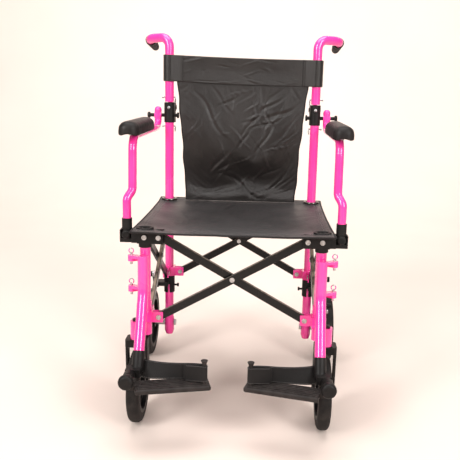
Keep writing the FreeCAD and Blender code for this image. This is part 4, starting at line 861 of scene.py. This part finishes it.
def build_band():
    """The top band: cloth from tube to tube, each end sewn into a sleeve round its tube."""
    bottom, top, tube = band_span()
    radius = 16.6 * MM
    half = -tube.x
    sleeve_reach = 33 * MM
    seam = half - sleeve_reach
    marks = creases(23, 24, (5, 75), (0.12, 0.4), (0.016, 0.04), (0.9 * MM, 2.8 * MM))
    steps = 20
    left = [(-seam, 0.0)]
    for i in range(steps + 1):
        angle = math.radians(75 + 210 * i / steps)
        left.append((-half + radius * math.cos(angle), radius * math.sin(angle)))
    left.append((-seam - 4 * MM, -7.5 * MM))
    left.append((-seam, -6 * MM))
    inner = 54
    front = [(-seam + 2 * seam * i / inner, -6 * MM) for i in range(1, inner)]
    right = [(-x, y) for x, y in reversed(left)]
    outline = left + front + right
    rows = 26
    columns = len(outline) - 1

    def place(s, t):
        x, y = outline[round((s + 1) / 2 * columns)]
        wide = x / seam
        slack = max(0.0, 1 - wide * wide)
        drape = crease_height(marks, wide, t) * slack ** 0.5 if abs(wide) < 1 else 0.0
        droop = 2.5 * MM * slack * (1 - 0.3 * t)
        dip = -3.2 * MM * slack * math.sin(math.pi * abs(t - 0.5) ** 1.5) if abs(wide) < 1 else 0.0
        level = bottom + (top - bottom) * t - 0.02 * x
        if y < 0:
            return x, tube.y + y + drape + dip, level - droop
        return x, tube.y + y, level

    sheet = Sheet(columns, rows, place)
    made = sheet.thick("back_band", 1.9 * MM, CLOTH, None, 1)
    sewing = Build()
    shares = {sign: 2 * (len(left) - 1) / columns - 1 for sign in (-1, 1)}
    for offset in (-0.035, 0.012):
        for sign in (-1, 1):
            sewing.add(stitches(sheet, lambda share, k=sign, e=offset:
                                (k * (-shares[1] + e) * -1 if k < 0 else -shares[1] + e, 0.02 + 0.96 * share),
                                -1.2 * MM))
    for level in (0.05, 0.95):
        sewing.add(stitches(sheet, lambda share, t=level: (shares[1] * (1 - 2 * share), t), -1.2 * MM))
    # Dark strips down the sleeve seams: the seams are real, but the strips' dark colour is painted shade that
    # stands in for the seam grooves.
    seam_shade_strips = Build()
    for reach in (seam - 1 * MM, seam - 9 * MM, half + 9 * MM, half - 5 * MM):
        for sign in (-1, 1):
            spot = sign * reach
            column = min(range(columns + 1),
                         key=lambda c: abs(outline[c][0] - spot) + 9 * max(0, outline[c][1]))
            seam_shade_strips.add(wire([sheet.at(2 * column / columns - 1, row / rows) - Vector((0, 0.7 * MM, 0))
                            for row in range(rows + 1)], 0.9 * MM, 6))
    joined(made, sewing.made("band_sewing", THREAD), seam_shade_strips.made("band_seam_shade_strips", TAPE))
    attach(made, "back_frame_left")
    follow(made, "back_frame_right", lambda spot: (spot.x + seam) / (2 * seam))
    return made


def panel_depth(s, t):
    """How far the back cloth lies behind its flat plane: a slack fold over a hollow, with a flap below."""
    lit_face_highlight = 0.50 - 0.17 * math.exp(-((s - 0.18) / 0.26) ** 2) + 0.035 * math.sin(8 * s + 0.6)
    hollow = 0.15 + 0.05 * math.sin(4.3 * s + 1.0)
    edge = 1 - abs(s) ** 3
    if t > lit_face_highlight:
        depth = -7 * MM * smooth_step((1 - t) / (1 - lit_face_highlight) * 1.15)
    elif t > hollow:
        depth = -7 * MM + 26 * MM * smooth_step((lit_face_highlight - t) / (lit_face_highlight - hollow))
    else:
        depth = 19 * MM - 15 * MM * smooth_step((hollow - t) / hollow * 1.1)
    return depth * (0.35 + 0.65 * edge)


def build_panel():
    """The back cloth below the band: loose nylon with long slanting creases, bound at its sides."""
    bottom, _, tube = band_span()
    top = bottom + 8 * MM
    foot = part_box("back_sling")[0].z - 3.5 * MM
    top_half, foot_half = 184 * MM, 158 * MM
    marks = creases(5, 54, (25, 70), (0.18, 0.6), (0.010, 0.024), (1.4 * MM, 4.2 * MM))
    # The long creases: place across and up, direction, half length, width and depth.
    marks += [(-0.5, 0.72, 0.62, -0.78, 0.62, 0.022, 4.2 * MM),
              (0.2, 0.82, 0.42, -0.9, 0.42, 0.016, -3.4 * MM),
              (0.62, 0.74, 0.86, 0.5, 0.42, 0.03, 4.0 * MM),
              (0.35, 0.5, 0.35, 0.93, 0.4, 0.022, 3.4 * MM),
              (-0.35, 0.32, 0.55, 0.84, 0.42, 0.03, -4.0 * MM),
              (0.05, 0.12, 0.9, -0.42, 0.6, 0.03, 4.2 * MM)]

    def place(s, t):
        waver = 3 * math.sin(math.pi * t) ** 2 + math.sin(17 * t + s) + 0.8 * math.sin(31 * t)
        half = foot_half + (top_half - foot_half) * t - MM * waver
        quiet = (1 - abs(s) ** 8) * smooth_step((1 - t) * 9)
        y = tube.y - 4.5 * MM * smooth_step(t * 3) + panel_depth(s, t) * smooth_step((1 - t) * 7)
        return s * half, y + crease_height(marks, s, t) * quiet, foot + (top - foot) * t

    sheet = Sheet(76, 84, place)
    sheet.relax(lambda s, t: 1.0 if abs(s) > 0.97 or t > 0.96 or t < 0.02 else 0.0, 4, 0.25, 0.004)
    made = sheet.thick("back_panel", 1.6 * MM, CLOTH, None, 1)
    sewing = Build()
    for sign in (-1, 1):
        sewing.add(stitches(sheet, lambda share, k=sign: (k * 0.965, 0.01 + 0.96 * share), -1.1 * MM))
    sewing.add(stitches(sheet, lambda share: (-0.95 + 1.9 * share, 0.03), -1.1 * MM))
    tape = edge_tape("panel_tape", sheet, [lambda share: (-1, share), lambda share: (1, share),
                                           lambda share: (-1 + 2 * share, 0)], 2.0 * MM)
    joined(made, sewing.made("panel_sewing", THREAD), tape)
    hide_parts("back_sling")
    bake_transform(made)
    follow(made, "rear_right_leg", lambda spot: (spot.x + top_half) / (2 * top_half))
    return made


# ---- pads and grips --------------------------------------------------------------------------------

def build_arm_pad(end, side):
    """A crowned skin-foam pad with rounded ends, a parting line and a hollow underneath for the tube."""
    low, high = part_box("arm_pad_" + end)
    centre = (low + high) / 2
    half, length = (high.x - low.x) / 2, high.y - low.y
    crown = high.z + 6 * MM
    base = low.z
    lip = 12 * MM
    rise = crown - base
    steps, rings = 40, 46
    groove = 11.5 * MM
    sections = []
    for i in range(rings + 1):
        share = i / rings
        reach = 1 - 2 * abs(share - 0.5)
        ease = math.sqrt(1 - (1 - min(1, reach / 0.17)) ** 2)
        width = half * (0.45 + 0.55 * ease) * (0.96 + 0.04 * math.sin(math.pi * share))
        tall = rise * (0.62 + 0.38 * ease)
        points = []
        for j in range(steps):
            angle = 2 * math.pi * j / steps
            cos, sin = math.cos(angle), math.sin(angle)
            x = width * 0.95 * math.copysign(abs(cos) ** (0.9 if sin >= 0 else 0.35), cos)
            if sin >= 0:
                z = base + lip + (tall - lip) * abs(sin) ** 0.85
            else:
                hollow = 5 * MM * math.exp(-(x / groove) ** 4)
                z = base + lip - lip * abs(sin) ** 0.3 + hollow
            if abs(angle - 0.16) < 0.08 or abs(angle - math.pi + 0.16) < 0.08:
                x *= 0.985
            points.append(Vector((centre.x + x, low.y + length * share, z)))
        sections.append(points)
    pad = Build()
    pad.add(loft(sections))
    profile = [(0, 4.2), (2.2, 4.2), (2.9, 3.2), (2.5, 1.6)]
    screw_head = [(along * MM, radius * MM) for along, radius in profile]
    for y_share in (0.16, 0.84):
        spot = Vector((centre.x, low.y + length * y_share, base + 2.4 * MM))
        pad.add(turned(spot, Vector((0, 0, -1)), screw_head, 24), 1)
    made = pad.made("armrest_pad_" + end, PAD, STEEL)
    made = smoothed(subdivided(made, 1))
    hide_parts("arm_pad_" + end)
    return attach(made, "armrest_" + side)


def grip_axis(node):
    """Where a grip's mouth and end lie on its axis."""
    points = np.unique(np.round([v.co for v in frame["nodes"][node].data.vertices], 6), axis=0)
    _, _, axes = np.linalg.svd(points - points.mean(0), full_matrices=False)
    direction = axes[0] * (1 if axes[0][1] > 0 else -1)
    along = points @ direction
    mouth = points[along < along.min() + 1 * MM].mean(0)
    end = points[along > along.max() - 3 * MM].mean(0)
    direction = (end - mouth) / np.linalg.norm(end - mouth)
    along = (points - mouth) @ direction
    return Vector(mouth + direction * along.min()), Vector(direction), along.max() - along.min()


def build_grip(end, side):
    """A finely ribbed rubber push grip that tapers from its collar to a rounded end."""
    start, direction, reach = grip_axis("grip_" + end)
    length = reach / MM
    profile = [(0.0, 12.9), (0.2, 14.8), (1.2, 15.6), (5.0, 15.6), (6.6, 14.9)]
    ribs = 17
    first, last = 6.6, length - 10
    wide = (last - first) / ribs
    for i in range(ribs):
        at = first + wide * (i + 0.15)
        swell = 14.9 - 0.7 * min(1, at / 30) - 3.6 * max(0, at - 30) / (length - 30)
        profile += [(at, swell - 0.5), (at + 0.2 * wide, swell), (at + 0.6 * wide, swell - 0.1),
                    (at + 0.8 * wide, swell - 0.6)]
    profile += [(length - 9, 11.0), (length - 5, 10.2), (length - 2, 8.2), (length - 0.5, 5.2), (length, 2.0)]
    grip = Build()
    grip.add(turned(start, direction, [(a * MM, r * MM) for a, r in profile], 56))
    made = smoothed(grip.made("push_grip_" + end, GRIP))
    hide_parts("grip_" + end)
    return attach(made, "back_frame_" + side)


# ---- heel straps -----------------------------------------------------------------------------------

def build_heel_strap(end, side, sign):
    """Webbing that loops round the foot sleeve, runs in to the plate's post and is sewn to itself."""
    flip = pivot("footplate_flip_" + side)
    half_height = 19 * MM
    sleeve_back = 46 * MM
    post_in, post_back = 170.3 * MM, 10.7 * MM
    outer_z, inner_z = flip.z + 2 * MM, flip.z + 16 * MM
    sleeve = Vector((middle("rear_post_" + end).x, flip.y + sleeve_back, outer_z))
    post = Vector((flip.x - sign * post_in, flip.y + post_back, inner_z))
    radius, post_radius = 15.6 * MM, 6.6 * MM
    inward = post - sleeve
    inward.z = 0
    inward.normalize()
    aside = Vector((-inward.y, inward.x, 0)) * sign
    path, tilt = [], []

    def push(point, lean):
        path.append(point)
        tilt.append(lean)

    loops = 22
    for i in range(loops + 1):
        angle = math.radians(205 + 110 * i / loops)
        push(sleeve + inward * radius * math.cos(angle) + aside * radius * math.sin(angle), 1.0)
    straight = 22
    first = path[-1].copy()
    last = post - aside * post_radius * 0.9 - inward * post_radius * 0.3
    for i in range(1, straight + 1):
        share = i / (straight + 1)
        spot = first.lerp(last, share)
        spot.z = outer_z + (inner_z - outer_z) * smooth_step(share)
        push(spot + aside * 3 * MM * math.sin(math.pi * share), 1 - smooth_step(share * 1.3))
    for i in range(loops + 1):
        angle = math.radians(250 + 220 * i / loops)
        spot = post + inward * post_radius * math.cos(angle) + aside * post_radius * math.sin(angle)
        push(spot, 0.0)
    tail = path[-1].copy()
    for i in range(1, 7):
        spot = tail.lerp(tail - inward * 46 * MM - aside * 5.5 * MM, i / 6)
        spot.z = inner_z + (outer_z - inner_z) * 0.35 * i / 6
        push(spot, 0.0)
    slope = 0.49
    columns = len(path) - 1

    def place(s, t):
        index = round((s + 1) / 2 * columns)
        rise = (2 * t - 1) * half_height * (1 + 0.03 * math.sin(9 * s))
        spot = path[index]
        return spot.x, spot.y + slope * rise * tilt[index], spot.z + rise

    sheet = Sheet(columns, 10, place)
    made = sheet.thick("heel_webbing_" + end, 1.5 * MM, TAPE, None, 1)
    sewing = Build()
    for level in (0.06, 0.94):
        for face in (-1.0, 1.0):
            sewing.add(stitches(sheet, lambda share, level=level: (-0.99 + 1.98 * share, level), face * MM))
    joined(made, sewing.made("webbing_sewing_" + end, THREAD))
    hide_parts("heel_strap_" + end)
    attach(made, "hanger_" + side)
    free = (post - sleeve).dot(inward) - radius - post_radius
    return follow(made, "footplate_" + side,
                  lambda spot: smooth_step(((spot - sleeve).dot(inward) - radius) / free))


# ---- small fittings --------------------------------------------------------------------------------

def build_hinge_screw(end, side):
    """A pan-head screw with a shallow round recess in the front of each hinge sleeve."""
    axis = middle("rear_post_" + end)
    face = axis.y - 15.2 * MM
    start = Vector((axis.x, face + 1 * MM, pivot("back_fold").z))
    profile = [(0, 4.4), (1.6, 4.4), (2.8, 3.6), (3.3, 2.2), (3.4, 1.1), (1.8, 0.9)]
    screw = Build()
    screw.add(turned(start, Vector((0, -1, 0)), [(along * MM, radius * MM) for along, radius in profile], 28))
    made = smoothed(screw.made("hinge_screw_" + end, STEEL))
    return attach(made, "rear_%s_leg" % side)


# ---- stage -----------------------------------------------------------------------------------------

def plain(name, colour, roughness=0.9):
    paper = Finish(name)
    lighter = tuple(min(1, channel * 1.05) for channel in colour[:3]) + (1,)
    base = paper.mixed(paper.spread(paper.noise(1.4, 2), 0.3, 0.7), colour, lighter)
    return paper.done(Base_Color=base, Roughness=roughness, Specular_IOR_Level=0.1)


def build_stage():
    """A pale paper sweep: floor, curve and wall."""
    width, near, turn, tall, radius = 9.0, -6.0, 2.4, 6.0, 1.6
    profile = [(near, 0.0), (turn, 0.0)]
    steps = 14
    for i in range(1, steps + 1):
        angle = math.pi / 2 * i / steps
        profile.append((turn + radius * math.sin(angle), radius * (1 - math.cos(angle))))
    profile.append((turn + radius, tall))
    vertices = [(sign * width, y, z - 0.2 * MM) for y, z in profile for sign in (-1, 1)]
    faces = [(2 * i, 2 * i + 1, 2 * i + 3, 2 * i + 2) for i in range(len(profile) - 1)]
    sweep = piece("paper_sweep", vertices, faces, [plain("pale_paper", linear(224, 209, 200))])


def area_light(name, place, target, width, height, power, colour=(1, 1, 1)):
    data = bpy.data.lights.new(name, "AREA")
    data.shape, data.size, data.size_y = "RECTANGLE", width, height
    data.energy, data.color = power, colour
    lamp = bpy.data.objects.new(name, data)
    lamp.location = place
    lamp.rotation_mode = "QUATERNION"
    lamp.rotation_quaternion = (Vector(target) - Vector(place)).to_track_quat("-Z", "Y")
    bpy.context.scene.collection.objects.link(lamp)


def build_lights():
    aim = (0, 0, 0.5)
    area_light("key_left", (-1.9, -2.3, 1.9), aim, 0.8, 1.8, 78, (1.0, 0.98, 0.96))
    area_light("key_right", (1.9, -2.3, 1.7), aim, 0.8, 1.8, 64, (1.0, 0.98, 0.96))
    area_light("overhead", (0, -0.3, 3.2), aim, 2.4, 1.8, 74, (1.0, 0.99, 0.98))
    area_light("wall_wash", (0, 2.3, 3.4), (0, 3.9, 1.6), 6.0, 1.0, 130)
    world = bpy.data.worlds.new("studio")
    world.use_nodes = True
    background = world.node_tree.nodes["Background"]
    background.inputs["Color"].default_value = (1.0, 0.96, 0.93, 1)
    background.inputs["Strength"].default_value = 0.34
    bpy.context.scene.world = world
    bpy.context.scene.view_settings.view_transform = "Standard"


def build_camera():
    """In front of the chair and a little to its right, looking slightly down."""
    aside, distance, height = 0.0673, 1.955, 0.812
    place = Vector((aside, pivot("frame_fold").y - distance, height))
    yaw, pitch, roll = -0.0485, 0.211, 0.0195
    ahead = Vector((math.sin(yaw) * math.cos(pitch), math.cos(yaw) * math.cos(pitch), -math.sin(pitch)))
    level_right = Vector((math.cos(yaw), -math.sin(yaw), 0))
    level_up = level_right.cross(ahead)
    right = level_right * math.cos(roll) + level_up * math.sin(roll)
    up = level_up * math.cos(roll) - level_right * math.sin(roll)
    data = bpy.data.cameras.new("camera")
    data.sensor_width = 36
    data.lens = 52.83
    camera = bpy.data.objects.new("camera", data)
    camera.matrix_world = Matrix.Translation(place) @ Matrix((right, up, -ahead)).transposed().to_4x4()
    bpy.context.scene.collection.objects.link(camera)
    bpy.context.scene.camera = camera


dress_frame()
build_seat()
build_eyelets()
build_band()
build_panel()
for end, (side, sign) in SIDES.items():
    build_arm_pad(end, side)
    build_grip(end, side)
    build_heel_strap(end, side, sign)
    build_hinge_screw(end, side)
build_stage()
build_lights()
build_camera()
